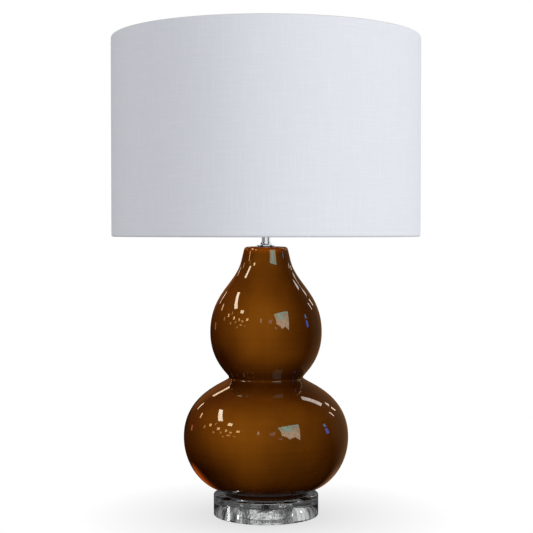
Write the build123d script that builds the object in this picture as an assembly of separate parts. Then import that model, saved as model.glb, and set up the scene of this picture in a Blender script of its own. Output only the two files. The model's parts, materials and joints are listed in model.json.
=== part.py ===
from build123d import *
import math
import os

# Double gourd table lamp: glazed ceramic gourd on a clear disc, chrome neck, drum shade
# on a harp. Millimetres, +Z up, the table at z = 0, the lamp's axis on Z, the front at -Y.

# ---- clear disc and what stands under it ----
pad_radius = 5.0
pad_height = 1.5
pad_circle_radius = 62.0
pad_count = 4
pad_first_angle = 45.0
disc_radius = 73.5
disc_thickness = 28.5
disc_edge_bevel = 0.8
recess_radius = 25.0
recess_depth = 14.0

# ---- centre rod and its clamping hardware ----
rod_radius = 5.0
rod_bore_radius = 3.5
rod_passage_clearance = 0.4
washer_clearance = 0.2
rod_tail = 2.0
base_washer_radius = 17.0
base_washer_thickness = 1.6
lock_washer_radius = 9.5
lock_washer_thickness = 1.4
lock_washer_teeth = 12
lock_washer_tooth_radius = 1.1
base_nut_across_flats = 17.0
base_nut_height = 5.0
wire_hole_radius = 2.6
wire_hole_height = 62.0

# ---- gourd, heights above the bottom of its foot ----
foot_gasket_thickness = 1.0
foot_gasket_width = 7.0
foot_radius = 60.0
foot_height = 6.5
foot_width = 10.0
foot_edge_round = 1.2
wall = 5.0
belly_radius = 115.4
belly_height = 80.0
waist_radius = 52.0
waist_height = 163.0
bulb_radius = 78.2
bulb_height = 226.5
shoulder_turn_radius = 54.5
shoulder_turn_height = 291.0
shoulder_turn_slope = 0.76
neck_radius = 31.0
neck_height = 341.5
neck_slope = 0.24
crown_round = 4.5
crown_rise = 0.5
foot_pull = 24.5
belly_pull_down = 43.0
belly_pull_up = 62.5
waist_pull_down = 7.5
waist_pull_up = 4.8
bulb_pull_down = 42.1
bulb_pull_up = 28.6
turn_pull_down = 22.1
turn_pull_up = 31.6
neck_pull_down = 22.7
inner_points = 9

# ---- cord inlet at the back of the belly ----
inlet_place = 0.42
grommet_flange_radius = 7.5
grommet_flange_proud = 1.8
grommet_barrel_radius = 5.5
grommet_bore_radius = 3.6
grommet_edge_round = 0.8

# ---- neck ----
neck_gasket_thickness = 0.8
neck_gasket_radius = 11.5
cap_radius = 13.0
cap_rim_thickness = 1.0
cap_height = 5.0
cap_collar_width = 1.2
cap_socket_depth = 3.0
tube_radius = 6.0
tube_clearance = 0.2
tube_length = 24.0

# ---- harp saddle ----
saddle_thickness = 1.6
saddle_width = 12.0
saddle_end_round = 5.9
post_spread = 23.0
post_radius = 2.0
post_height = 10.4
post_boss_radius = 3.4
post_boss_height = 2.0
lock_nut_across_flats = 15.0
lock_nut_height = 3.0
nut_corner_slope = 30.0

# ---- lamp holder ----
holder_bushing_radius = 7.5
holder_bushing_height = 6.0
holder_flare_height = 8.0
holder_cup_height = 21.0
holder_metal = 0.7
shell_radius = 15.6
shell_metal = 0.5
shell_lap = 4.5
shell_length = 43.0
shell_bead_drop = 12.0
shell_bead_rise = 0.6
shell_bead_half_width = 1.2
liner_thickness = 0.7
liner_inset = 1.5
core_clearance = 0.15
core_height = 16.0
core_flange_height = 2.5
thread_shell_radius = 13.9
thread_shell_metal = 0.4
thread_shell_inset = 3.0
thread_shell_hole_radius = 6.0
contact_width = 6.0
contact_depth = 3.0
contact_thickness = 0.5
contact_rise = 2.2
contact_tip_width = 2.6
contact_rivet_radius = 1.4
contact_rivet_length = 4.0
terminal_depth = 4.0
terminal_height = 10.0
terminal_screw_head_radius = 2.8
terminal_screw_head_thickness = 1.6
terminal_screw_shank_radius = 1.5
terminal_screw_shank_length = 4.0
terminal_screw_slot_depth = 0.8
terminal_clearance = 0.5
set_screw_radius = 1.5
set_screw_slot_width = 0.5
set_screw_slot_depth = 0.7

# ---- rotary switch ----
shaft_radius = 2.2
shaft_running_clearance = 0.05
shaft_height = 8.0
shaft_inner_reach = 3.0
shaft_hole_clearance = 0.6
knob_radius = 7.0
knob_length = 13.0
knob_gap = 10.0
knob_shaft_depth = 9.0
knob_flutes = 16
knob_flute_radius = 0.9
knob_nose_round = 1.2

# ---- light bulb ----
bulb_clearance = 0.3
screw_cap_length = 23.0
screw_cap_thread_depth = 0.7
screw_cap_thread_pitch = 3.6
screw_cap_turns = 4
screw_cap_metal = 0.4
button_insulator_height = 3.0
button_insulator_radius = 4.8
button_radius = 3.8
button_face_radius = 2.8
button_height = 1.2
button_let_in = 1.2
globe_radius = 30.0
globe_centre_height = 50.0
globe_glass = 1.0
globe_neck_inset = 4.0
globe_neck_pull = 12.5
globe_side_pull = 25.0

# ---- harp ----
harp_wire_radius = 2.0
harp_height = 239.0
harp_half_width = 57.0
harp_foot_bend_height = 44.0
harp_flare_height = 78.0
harp_shoulder_drop = 45.0
harp_top_half_width = 22.0
harp_bends = (20.0, 40.0, 60.0, 40.0)
sleeve_bore_clearance = 0.3
sleeve_wall = 1.1
sleeve_length = 14.0
stud_flange_radius = 9.0
stud_flange_thickness = 2.0
stud_boss_radius = 5.0
stud_boss_drop = 1.5
stud_radius = 3.175
stud_length = 14.0
stud_tip_chamfer = 0.5

# ---- drum shade ----
shade_radius = 215.0
shade_height = 275.0
shade_bottom = 391.0
linen_thickness = 0.7
stiffener_thickness = 0.8
ring_wire_radius = 1.5
hem_rise = 2.5
hem_height = 9.0
hem_lap = 3.0
spider_hub_radius = 13.0
spider_hub_thickness = 2.0
spider_hub_clearance = 0.3
spider_arm_radius = 1.6
spider_arms = 3
spider_first_arm = 90.0
spider_bend_run = 16.0
spider_bend_radius = 12.0
hem_slit_clearance = 0.4

# ---- finial ----
finial_running_clearance = 0.05
finial_foot_radius = 8.0
finial_foot_height = 2.5
finial_waist_radius = 4.8
finial_waist_height = 3.5
finial_collar_radius = 6.5
finial_collar_height = 2.0
finial_ball_radius = 9.0
finial_seat_radius = 4.4

# ---- levels, from the table up ----
disc_bottom = pad_height
disc_top = disc_bottom + disc_thickness
foot_level = disc_top + foot_gasket_thickness
dome_level = foot_level + neck_height + crown_round
gourd_top = dome_level + crown_rise
cap_bottom = gourd_top + neck_gasket_thickness
cap_top = cap_bottom + cap_height
tube_bottom = cap_top - cap_socket_depth
saddle_bottom = tube_bottom + tube_length
saddle_top = saddle_bottom + saddle_thickness
lock_nut_top = saddle_top + lock_nut_height
holder_bottom = lock_nut_top
cup_rim = holder_bottom + holder_cup_height
shell_bottom = cup_rim - shell_lap
flare_bottom = holder_bottom + holder_bushing_height
flare_top = flare_bottom + holder_flare_height
shell_top = shell_bottom + shell_length
core_bottom = shell_bottom
core_top = core_bottom + core_height
shaft_level = core_bottom + shaft_height
rod_top = flare_bottom
recess_top = disc_bottom + recess_depth
washer_bottom = recess_top - base_washer_thickness
lock_washer_bottom = washer_bottom - lock_washer_thickness
nut_bottom = lock_washer_bottom - base_nut_height
rod_bottom = nut_bottom - rod_tail
thread_shell_top = shell_top - thread_shell_inset
contact_top = core_top + contact_thickness + contact_rise
insulator_bottom = contact_top + button_height
screw_cap_bottom = insulator_bottom + button_insulator_height
screw_cap_top = screw_cap_bottom + screw_cap_length
globe_centre = screw_cap_top + globe_centre_height
harp_foot = saddle_top + post_height
harp_wire_level = saddle_top + harp_height - harp_wire_radius
stud_flange_bottom = harp_wire_level + harp_wire_radius
hub_bottom = stud_flange_bottom + stud_flange_thickness
hub_top = hub_bottom + spider_hub_thickness
stud_top = hub_bottom + stud_length
ring_inset = linen_thickness + stiffener_thickness + ring_wire_radius
ring_radius = shade_radius - ring_inset
lower_ring_level = shade_bottom + ring_inset
upper_ring_level = shade_bottom + shade_height - ring_inset

rod_passage = rod_radius + rod_passage_clearance
liner_radius = shell_radius - shell_metal
core_radius = liner_radius - liner_thickness - core_clearance
screw_cap_radius = thread_shell_radius - thread_shell_metal - bulb_clearance
sleeve_bore = harp_wire_radius + sleeve_bore_clearance
sleeve_radius = sleeve_bore + sleeve_wall
sleeve_bottom = saddle_top + post_boss_height
knob_inner_end = shell_radius + knob_gap
knob_outer_end = knob_inner_end + knob_length


# ---- helpers ----
def rz(radius, height):
    """A point of a turned outline: distance from the axis, and height."""
    return (radius, 0, height)


def outline(*points):
    """Straight edges through the points, as a list."""
    return Polyline(*[rz(*point) for point in points]).edges()


def turned(*edges):
    """The solid of revolution about the lamp's axis inside a closed outline."""
    return revolve(make_face(list(edges)), axis=Axis.Z)


def turned_polygon(*points):
    return turned(*outline(*points, points[0]))


def rod(radius, bottom, top):
    """A round bar along the axis between two heights."""
    return Pos(0, 0, bottom) * Cylinder(radius, top - bottom, align=(Align.CENTER, Align.CENTER, Align.MIN))


def pipe(outer, bore, bottom, top):
    return rod(outer, bottom, top) - rod(bore, bottom, top)


def hex_nut(across_flats, bore, bottom, top):
    """A nut with both corners of its hexagon turned off."""
    corner = across_flats / math.sqrt(3)
    height = top - bottom
    prism = Pos(0, 0, bottom) * extrude(RegularPolygon(corner, 6), height)
    turn_off = (corner - across_flats / 2) * math.tan(math.radians(nut_corner_slope))
    barrel = turned_polygon(
        (0, bottom), (across_flats / 2, bottom), (corner, bottom + turn_off),
        (corner, top - turn_off), (across_flats / 2, top), (0, top))
    return (prism & barrel) - rod(bore, bottom, top)


def around(shape, count, first=0.0):
    """Copies of a shape, evenly spaced about the axis."""
    return [Rot(0, 0, first + 360 / count * index) * shape for index in range(count)]


def along_x(radius, start, end, height):
    """A round bar along X between two places."""
    return Pos(start, 0, height) * Rot(0, 90, 0) * Cylinder(
        radius, end - start, align=(Align.CENTER, Align.CENTER, Align.MIN))


def along_y(radius, start, end, height):
    """A round bar along Y between two places."""
    return Pos(0, start, height) * Rot(-90, 0, 0) * Cylinder(
        radius, end - start, align=(Align.CENTER, Align.CENTER, Align.MIN))


# ---- disc and clamping hardware ----
def bumper_pads():
    pad = Pos(pad_circle_radius, 0, 0) * rod(pad_radius, 0, pad_height)
    return around(pad, pad_count, pad_first_angle)


def clear_disc():
    disc = rod(disc_radius, disc_bottom, disc_top)
    disc = chamfer(disc.edges().filter_by(GeomType.CIRCLE), disc_edge_bevel)
    recess = rod(recess_radius, disc_bottom, recess_top)
    return disc - recess - rod(rod_passage, disc_bottom, disc_top)


def lock_washer():
    washer = pipe(lock_washer_radius, rod_radius, lock_washer_bottom, washer_bottom)
    notch = Pos(lock_washer_radius, 0, 0) * rod(lock_washer_tooth_radius, lock_washer_bottom, washer_bottom)
    return washer - around(notch, lock_washer_teeth)


def centre_rod():
    bar = pipe(rod_radius, rod_bore_radius, rod_bottom, rod_top)
    return bar - along_y(wire_hole_radius, 0, 2 * rod_radius, wire_hole_height)


# ---- gourd ----
def gourd_curves():
    """The outer skin from the foot to the neck, one curve between each two stations."""
    lean_turn = Vector(-shoulder_turn_slope, 0, 1).normalized()
    lean_neck = Vector(-neck_slope, 0, 1).normalized()
    up = Vector(0, 0, 1)
    foot = Vector(foot_radius, 0, foot_level + foot_height)
    belly = Vector(belly_radius, 0, foot_level + belly_height)
    waist = Vector(waist_radius, 0, foot_level + waist_height)
    bulb = Vector(bulb_radius, 0, foot_level + bulb_height)
    turn = Vector(shoulder_turn_radius, 0, foot_level + shoulder_turn_height)
    neck = Vector(neck_radius, 0, foot_level + neck_height)
    return [
        Bezier(foot, foot + Vector(foot_pull, 0, 0), belly - up * belly_pull_down, belly),
        Bezier(belly, belly + up * belly_pull_up, waist - up * waist_pull_down, waist),
        Bezier(waist, waist + up * waist_pull_up, bulb - up * bulb_pull_down, bulb),
        Bezier(bulb, bulb + up * bulb_pull_up, turn - lean_turn * turn_pull_down, turn),
        Bezier(turn, turn + lean_turn * turn_pull_up, neck - lean_neck * neck_pull_down, neck)]


def crown_curve(start, lean, inset):
    """The rounded corner between the neck and the nearly flat top."""
    top = dome_level - inset
    corner = start + lean * ((top - start.Z) / lean.Z)
    end = Vector(corner.X - crown_round, 0, top)
    return Bezier(start, corner, end)


def inset_curve(curve):
    """The same curve one wall thickness further in."""
    points = []
    for index in range(inner_points):
        place = index / (inner_points - 1)
        direction = curve % place
        points.append((curve @ place) + Vector(-direction.Z, 0, direction.X) * wall)
    return Spline(points, tangents=[curve % 0, curve % 1])


def gourd_wall():
    """The ceramic without the hole for the cord."""
    skin = gourd_curves()
    crown = crown_curve(skin[-1] @ 1, skin[-1] % 1, 0)
    lining = [inset_curve(curve) for curve in skin]
    inner_crown = crown_curve(lining[-1] @ 1, lining[-1] % 1, wall)
    foot_inner = foot_radius - foot_width
    foot_top = foot_level + foot_height
    foot = outline(
        (rod_passage, foot_top), (foot_inner, foot_top), (foot_inner, foot_level), (foot_radius, foot_level),
        (foot_radius, foot_top))
    top = Polyline(crown @ 1, rz(rod_passage, gourd_top), rz(rod_passage, gourd_top - wall), inner_crown @ 1)
    floor = Polyline(lining[0] @ 0, rz(rod_passage, foot_top + wall), rz(rod_passage, foot_top))
    loop = foot + skin + [crown] + top.edges() + [inner_crown] + lining + floor.edges()
    body = turned(*loop)
    foot_edges = body.edges().filter_by(GeomType.CIRCLE).group_by(Axis.Z)[0]
    return fillet(foot_edges, foot_edge_round)


def inlet_plane():
    """The cord inlet's place at the back, its normal square to the skin and pointing out."""
    curve = gourd_curves()[0]
    place = curve @ inlet_place
    direction = curve % inlet_place
    return Plane(origin=(0, place.X, place.Z), x_dir=(1, 0, 0), z_dir=(0, direction.Z, -direction.X))


def inlet_bar(radius, start, end):
    """A round bar along the inlet, from one depth to another; outside is positive."""
    bar = Cylinder(radius, end - start, align=(Align.CENTER, Align.CENTER, Align.MIN))
    return inlet_plane() * Pos(0, 0, start) * bar


def gourd_body():
    return gourd_wall() - inlet_bar(grommet_barrel_radius, -2 * wall, 2 * wall)


def cord_grommet(ceramic):
    """A rubber bush whose two flanges follow the skin inside and out."""
    inner_end = -wall - grommet_flange_proud
    blank = inlet_bar(grommet_flange_radius, inner_end, grommet_flange_proud)
    blank = fillet(blank.edges().filter_by(GeomType.CIRCLE), grommet_edge_round)
    return (blank - ceramic) - inlet_bar(grommet_bore_radius, inner_end, grommet_flange_proud)


# ---- neck ----
def neck_cap():
    collar = tube_radius + cap_collar_width
    rim_top = cap_bottom + cap_rim_thickness
    flare = Bezier(rz(cap_radius, rim_top), rz(collar, rim_top), rz(collar, cap_top))
    edges = outline((collar, cap_top), (0, cap_top), (0, cap_bottom), (cap_radius, cap_bottom),
                    (cap_radius, rim_top))
    cap = turned(*edges, flare) - rod(tube_radius, tube_bottom, cap_top)
    return cap - rod(rod_radius + tube_clearance, cap_bottom, cap_top)


def neck_tube():
    return pipe(tube_radius, rod_radius + tube_clearance, tube_bottom, saddle_bottom)


# ---- harp saddle ----
def harp_saddle():
    """A strip with two upright posts; each post has a boss that its sleeve rests on."""
    reach = post_spread + saddle_end_round
    strip = Pos(0, 0, saddle_bottom) * extrude(
        RectangleRounded(2 * reach, saddle_width, saddle_end_round), saddle_thickness)
    strip -= rod(rod_radius + washer_clearance, saddle_bottom, saddle_top)
    for side in (-1, 1):
        post = rod(post_radius, saddle_top, harp_foot) + rod(post_boss_radius, saddle_top, sleeve_bottom)
        strip += Pos(side * post_spread, 0, 0) * post
    return strip


# ---- lamp holder ----
def holder_cap():
    """A threaded bushing that flares into a cup."""
    cup = shell_radius + holder_metal
    bushing = holder_bushing_radius
    inner = bushing - holder_metal
    inside = flare_bottom + holder_metal
    cap = turned(
        *outline((inner, inside), (rod_radius, inside), (rod_radius, holder_bottom),
                 (bushing, holder_bottom), (bushing, flare_bottom)),
        Bezier(rz(bushing, flare_bottom), rz(cup, flare_bottom), rz(cup, flare_top)),
        *outline((cup, flare_top), (cup, cup_rim), (shell_radius, cup_rim), (shell_radius, flare_top)),
        Bezier(rz(shell_radius, flare_top), rz(shell_radius, inside), rz(inner, inside)))
    return cap - along_y(set_screw_radius, 0, 2 * holder_bushing_radius, set_screw_level())


def set_screw_level():
    return holder_bottom + holder_bushing_height / 2


def set_screw():
    screw = along_y(set_screw_radius, rod_radius, holder_bushing_radius, set_screw_level())
    slot = Pos(0, holder_bushing_radius, set_screw_level()) * Box(
        2 * set_screw_radius, 2 * set_screw_slot_depth, set_screw_slot_width)
    screw -= rod(rod_radius, holder_bottom, cup_rim)
    return screw - slot


def holder_shell():
    """The sheet metal shell, with one raised bead round it and a hole for the switch shaft."""
    inner = shell_radius - shell_metal
    bead = shell_top - shell_bead_drop
    bead_bottom = bead - shell_bead_half_width
    bead_top = bead + shell_bead_half_width
    shell = turned(
        *outline((shell_radius, bead_top), (shell_radius, shell_top), (inner, shell_top),
                 (inner, shell_bottom), (shell_radius, shell_bottom), (shell_radius, bead_bottom)),
        ThreePointArc(rz(shell_radius, bead_bottom), rz(shell_radius + shell_bead_rise, bead),
                      rz(shell_radius, bead_top)))
    return shell - shaft_hole()


def shaft_hole():
    return along_y(shaft_radius + shaft_hole_clearance, -knob_inner_end, 0, shaft_level)


def holder_liner():
    liner = pipe(liner_radius, liner_radius - liner_thickness, shell_bottom, shell_top - liner_inset)
    return liner - shaft_hole()


def holder_core():
    """The moulded body that carries the contacts, with a flat at each terminal.

    Its flange lies in the cup, and the shell and its liner stand on it.
    """
    core = rod(core_radius, core_bottom, core_top)
    core += rod(shell_radius, core_bottom - core_flange_height, core_bottom)
    for side in (-1, 1):
        notch_centre = side * (core_radius - terminal_depth / 2)
        core -= Pos(notch_centre, 0, core_bottom + terminal_height) * Box(
            terminal_depth, 2 * core_radius, 2 * (terminal_screw_head_radius + terminal_clearance))
        core -= terminal_shank(side)
    core -= along_y(shaft_radius + shaft_running_clearance, -core_radius, -shaft_inner_reach, shaft_level)
    return core - contact_rivet()


def contact_rivet():
    return rod(contact_rivet_radius, core_top - contact_rivet_length, core_top)


def terminal_shank(side):
    flat = core_radius - terminal_depth
    shank = along_x(terminal_screw_shank_radius, flat - terminal_screw_shank_length, flat,
                    core_bottom + terminal_height)
    return Rot(0, 0, 0 if side > 0 else 180) * shank


def terminal_screws():
    flat = core_radius - terminal_depth
    head = along_x(terminal_screw_head_radius, flat, flat + terminal_screw_head_thickness,
                   core_bottom + terminal_height)
    slot = Pos(flat + terminal_screw_head_thickness, 0, core_bottom + terminal_height) * Box(
        2 * terminal_screw_slot_depth, 2 * terminal_screw_head_radius, set_screw_slot_width)
    return around(head + terminal_shank(1) - slot, 2)


def thread_shell():
    """The brass shell that the light bulb screws into, with a floor riveted to the core."""
    outer = thread_shell_radius
    inner = outer - thread_shell_metal
    floor = core_top + thread_shell_metal
    hole = thread_shell_hole_radius
    return turned_polygon(
        (hole, core_top), (outer, core_top), (outer, thread_shell_top), (inner, thread_shell_top),
        (inner, floor), (hole, floor))


def centre_contact():
    """A sprung tongue on a rivet, pressed up against the light bulb's button."""
    half = contact_width / 2
    tip = contact_tip_width / 2
    metal = contact_thickness
    strip = outline(
        (-half, core_top), (half, core_top), (half, core_top + metal), (metal - half, core_top + metal),
        (metal - tip, contact_top - metal), (tip, contact_top - metal), (tip, contact_top),
        (-tip, contact_top), (-half, core_top + 2 * metal), (-half, core_top))
    return extrude(make_face(strip), contact_depth / 2, both=True) + contact_rivet()


# ---- rotary switch ----
def switch_shaft():
    return along_y(shaft_radius, -knob_inner_end - knob_shaft_depth, -shaft_inner_reach, shaft_level)


def switch_knob():
    knob = along_y(knob_radius, -knob_outer_end, -knob_inner_end, shaft_level)
    nose = knob.edges().filter_by(GeomType.CIRCLE).group_by(Axis.Y)[0]
    knob = fillet(nose, knob_nose_round)
    flute = Pos(0, 0, knob_radius) * along_y(knob_flute_radius, -knob_outer_end, -knob_inner_end, 0)
    for index in range(knob_flutes):
        knob -= Pos(0, 0, shaft_level) * Rot(0, 360 / knob_flutes * index, 0) * flute
    return knob - switch_shaft()


# ---- light bulb ----
def screw_cap():
    """The bulb's metal cap, its thread drawn as rounded rings."""
    root = screw_cap_radius - screw_cap_thread_depth
    inner = root - screw_cap_metal
    first = screw_cap_bottom + screw_cap_thread_pitch
    edges = outline((inner, screw_cap_bottom), (root, screw_cap_bottom), (root, first))
    for index in range(screw_cap_turns):
        bottom = first + index * screw_cap_thread_pitch
        middle = rz(screw_cap_radius, bottom + screw_cap_thread_pitch / 2)
        end = rz(root, bottom + screw_cap_thread_pitch)
        edges.append(ThreePointArc(rz(root, bottom), middle, end))
    last = first + screw_cap_turns * screw_cap_thread_pitch
    edges += outline((root, last), (root, screw_cap_top), (inner, screw_cap_top), (inner, screw_cap_bottom))
    return turned(*edges)


def button_insulator():
    root = screw_cap_radius - screw_cap_thread_depth
    return turned_polygon(
        (button_radius, insulator_bottom), (button_insulator_radius, insulator_bottom),
        (root, screw_cap_bottom), (0, screw_cap_bottom), (0, insulator_bottom + button_let_in),
        (button_radius, insulator_bottom + button_let_in))


def button():
    """The centre contact of the light bulb, its head let into the insulator."""
    return turned_polygon(
        (0, contact_top), (button_face_radius, contact_top), (button_radius, insulator_bottom),
        (button_radius, insulator_bottom + button_let_in), (0, insulator_bottom + button_let_in))


def dome_arc(radius):
    """A quarter circle about the globe's centre, from its widest place to its crown."""
    middle = radius * math.sqrt(0.5)
    return ThreePointArc(rz(radius, globe_centre), rz(middle, globe_centre + middle),
                         rz(0, globe_centre + radius))


def globe_side(neck, side):
    """The curve from the globe's neck out to its widest place."""
    return Bezier(rz(neck, screw_cap_top), rz(neck, screw_cap_top + globe_neck_pull),
                  rz(side, globe_centre - globe_side_pull), rz(side, globe_centre))


def globe():
    """A pear-shaped glass shell whose neck sits in the screw cap."""
    neck = screw_cap_radius - screw_cap_thread_depth - screw_cap_metal
    foot = screw_cap_top - globe_neck_inset
    crown = globe_centre + globe_radius
    inner = globe_radius - globe_glass
    inner_neck = neck - globe_glass
    return turned(
        *outline((inner_neck, screw_cap_top), (inner_neck, foot), (neck, foot), (neck, screw_cap_top)),
        globe_side(neck, globe_radius),
        dome_arc(globe_radius),
        *outline((0, crown), (0, crown - globe_glass)),
        dome_arc(inner),
        globe_side(inner_neck, inner))


# ---- harp ----
def harp_wire():
    """One bent wire from foot to foot over the light bulb."""
    right = [(post_spread, harp_foot), (post_spread, saddle_top + harp_foot_bend_height),
             (harp_half_width, saddle_top + harp_flare_height),
             (harp_half_width, harp_wire_level - harp_shoulder_drop), (harp_top_half_width, harp_wire_level)]
    left = [(-x, z) for x, z in reversed(right)]
    path = FilletPolyline(*[rz(*point) for point in right + left], radius=harp_bends + harp_bends[::-1])
    section = Plane(origin=path @ 0, z_dir=path % 0) * Circle(harp_wire_radius)
    return sweep(section, path=path)


def harp_stud(wire):
    """A flanged stud whose boss is closed round the wire."""
    boss = rod(stud_boss_radius, harp_wire_level - harp_wire_radius - stud_boss_drop, stud_flange_bottom)
    flange = rod(stud_flange_radius, stud_flange_bottom, hub_bottom)
    stud = rod(stud_radius, hub_bottom, stud_top)
    stud = chamfer(stud.edges().filter_by(GeomType.CIRCLE).group_by(Axis.Z)[-1], stud_tip_chamfer)
    return boss + flange + stud - wire


def harp_sleeve(side):
    sleeve = pipe(sleeve_radius, sleeve_bore, sleeve_bottom, sleeve_bottom + sleeve_length)
    return Pos(side * post_spread, 0, 0) * sleeve


# ---- shade ----
def shade_ring(level):
    return Pos(0, 0, level) * Torus(ring_radius, ring_wire_radius)


def hem_edges(level, side):
    """The linen's edge: round the ring, past its inner side, then back to lap on the stiffener."""
    outer = shade_radius - ring_radius
    inner = outer - linen_thickness
    lap_radius = shade_radius - linen_thickness - stiffener_thickness
    rise = level + side * hem_rise
    lap = level + side * hem_height
    lap_end = lap + side * hem_lap
    return [
        ThreePointArc(rz(shade_radius, level), rz(ring_radius, level - side * outer),
                      rz(ring_radius - outer, level)),
        *outline((ring_radius - outer, level), (ring_radius - outer, rise),
                 (lap_radius - linen_thickness, lap), (lap_radius - linen_thickness, lap_end),
                 (lap_radius, lap_end), (lap_radius, lap), (ring_radius - inner, rise),
                 (ring_radius - inner, level)),
        ThreePointArc(rz(ring_radius - inner, level), rz(ring_radius, level - side * inner),
                      rz(ring_radius + inner, level))]


def shade_linen(arms):
    """The linen cover with a rolled hem round each ring, slit where the arms pass."""
    inner = shade_radius - linen_thickness
    cover = turned(
        *outline((shade_radius, upper_ring_level), (shade_radius, lower_ring_level)),
        *hem_edges(lower_ring_level, 1),
        *outline((inner, lower_ring_level), (inner, upper_ring_level)),
        *hem_edges(upper_ring_level, -1))
    return cover - arms


def shade_stiffener():
    outer = shade_radius - linen_thickness
    return pipe(outer, outer - stiffener_thickness, lower_ring_level, upper_ring_level)


def spider_arm(radius):
    """One arm from the hub out to the upper ring."""
    hub_middle = hub_bottom + spider_hub_thickness / 2
    bend = ring_radius - spider_bend_run
    path = FilletPolyline(rz(spider_hub_radius - spider_arm_radius, hub_middle), rz(bend, hub_middle),
                          rz(ring_radius, upper_ring_level), radius=spider_bend_radius)
    section = Plane(origin=path @ 0, z_dir=path % 0) * Circle(radius)
    return sweep(section, path=path)


def spider_hub():
    return pipe(spider_hub_radius, stud_radius + spider_hub_clearance, hub_bottom, hub_top)


def spider_arm_set(hub, ring):
    arm = spider_arm(spider_arm_radius) - hub - ring
    return around(arm, spider_arms, spider_first_arm)


# ---- finial ----
def finial_base():
    """The tapped spool under the ball, its foot on the spider's hub."""
    foot_top = hub_top + finial_foot_height
    waist_top = foot_top + finial_waist_height
    top = waist_top + finial_collar_height
    spool = turned(
        *outline((finial_collar_radius, top), (0, top), (0, hub_top), (finial_foot_radius, hub_top)),
        Bezier(rz(finial_foot_radius, hub_top), rz(finial_foot_radius, foot_top),
               rz(finial_waist_radius, foot_top), rz(finial_waist_radius, waist_top)),
        *outline((finial_waist_radius, waist_top), (finial_collar_radius, waist_top),
                 (finial_collar_radius, top)))
    return spool - rod(stud_radius + finial_running_clearance, hub_top, top)


def finial_knob():
    """A ball with a flat seat, bored for the end of the stud."""
    seat = hub_top + finial_foot_height + finial_waist_height + finial_collar_height
    rise = math.sqrt(finial_ball_radius ** 2 - finial_seat_radius ** 2)
    ball = Pos(0, 0, seat + rise) * Sphere(finial_ball_radius)
    ball &= rod(finial_ball_radius, seat, seat + 2 * finial_ball_radius)
    return ball - rod(stud_radius + finial_running_clearance, seat, stud_top + finial_running_clearance)


# ---- all pieces ----
def make_parts():
    ceramic = gourd_body()
    wire = harp_wire()
    hub = spider_hub()
    upper_ring = shade_ring(upper_ring_level)
    slit = around(spider_arm(spider_arm_radius + hem_slit_clearance), spider_arms, spider_first_arm)
    return {
        "bumper_pads": bumper_pads(),
        "clear_disc": clear_disc(),
        "base_washer": pipe(base_washer_radius, rod_radius + washer_clearance, washer_bottom, recess_top),
        "lock_washer": lock_washer(),
        "base_nut": hex_nut(base_nut_across_flats, rod_radius, nut_bottom, lock_washer_bottom),
        "centre_rod": centre_rod(),
        "foot_gasket": pipe(foot_radius - foot_edge_round, foot_radius - foot_edge_round - foot_gasket_width,
                            disc_top, foot_level),
        "gourd_body": ceramic,
        "cord_grommet": cord_grommet(ceramic),
        "neck_gasket": pipe(neck_gasket_radius, rod_passage, gourd_top, cap_bottom),
        "neck_cap": neck_cap(),
        "neck_tube": neck_tube(),
        "harp_saddle": harp_saddle(),
        "saddle_lock_nut": hex_nut(lock_nut_across_flats, rod_radius, saddle_top, lock_nut_top),
        "holder_cap": holder_cap(),
        "holder_set_screw": set_screw(),
        "holder_shell": holder_shell(),
        "holder_liner": holder_liner(),
        "holder_core": holder_core(),
        "terminal_screws": terminal_screws(),
        "thread_shell": thread_shell(),
        "centre_contact": centre_contact(),
        "switch_shaft": switch_shaft(),
        "switch_knob": switch_knob(),
        "bulb_screw_cap": screw_cap(),
        "bulb_insulator": button_insulator(),
        "bulb_button": button(),
        "bulb_globe": globe(),
        "harp_wire": wire,
        "harp_stud": harp_stud(wire),
        "harp_sleeve_left": harp_sleeve(-1),
        "harp_sleeve_right": harp_sleeve(1),
        "shade_lower_ring": shade_ring(lower_ring_level),
        "shade_upper_ring": upper_ring,
        "spider_hub": hub,
        "spider_arms": spider_arm_set(hub, upper_ring),
        "shade_stiffener": shade_stiffener(),
        "shade_linen": shade_linen(slit),
        "finial_base": finial_base(),
        "finial_knob": finial_knob(),
    }


def write_parts(parts):
    os.makedirs("parts", exist_ok=True)
    for name, shape in parts.items():
        if isinstance(shape, list):
            shape = Compound(children=[solid for item in shape for solid in item.solids()])
        export_step(shape, f"parts/{name}.step")


write_parts(make_parts())
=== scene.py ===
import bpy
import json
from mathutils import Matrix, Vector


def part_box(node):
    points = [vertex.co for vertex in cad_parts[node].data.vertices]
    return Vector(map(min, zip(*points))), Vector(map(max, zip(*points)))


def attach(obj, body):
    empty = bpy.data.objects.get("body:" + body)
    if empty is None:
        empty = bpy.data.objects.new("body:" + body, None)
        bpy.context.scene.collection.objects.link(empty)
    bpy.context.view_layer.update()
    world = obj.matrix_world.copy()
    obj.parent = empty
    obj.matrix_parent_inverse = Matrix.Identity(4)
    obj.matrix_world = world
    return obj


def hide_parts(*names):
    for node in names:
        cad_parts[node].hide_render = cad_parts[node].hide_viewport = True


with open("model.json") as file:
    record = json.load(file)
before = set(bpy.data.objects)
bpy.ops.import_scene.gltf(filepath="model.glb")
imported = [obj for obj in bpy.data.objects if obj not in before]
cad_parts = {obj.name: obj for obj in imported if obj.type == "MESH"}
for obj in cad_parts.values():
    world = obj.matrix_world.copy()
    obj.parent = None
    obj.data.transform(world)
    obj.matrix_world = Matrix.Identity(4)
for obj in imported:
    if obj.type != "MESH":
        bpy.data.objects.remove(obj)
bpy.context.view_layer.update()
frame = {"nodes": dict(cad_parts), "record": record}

# Double gourd table lamp: geometry detail, materials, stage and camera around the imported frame.
# Metres, +Z up, the table at z = 0, the lamp's axis on Z, the front at -Y.

import json
import math
import random

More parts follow.
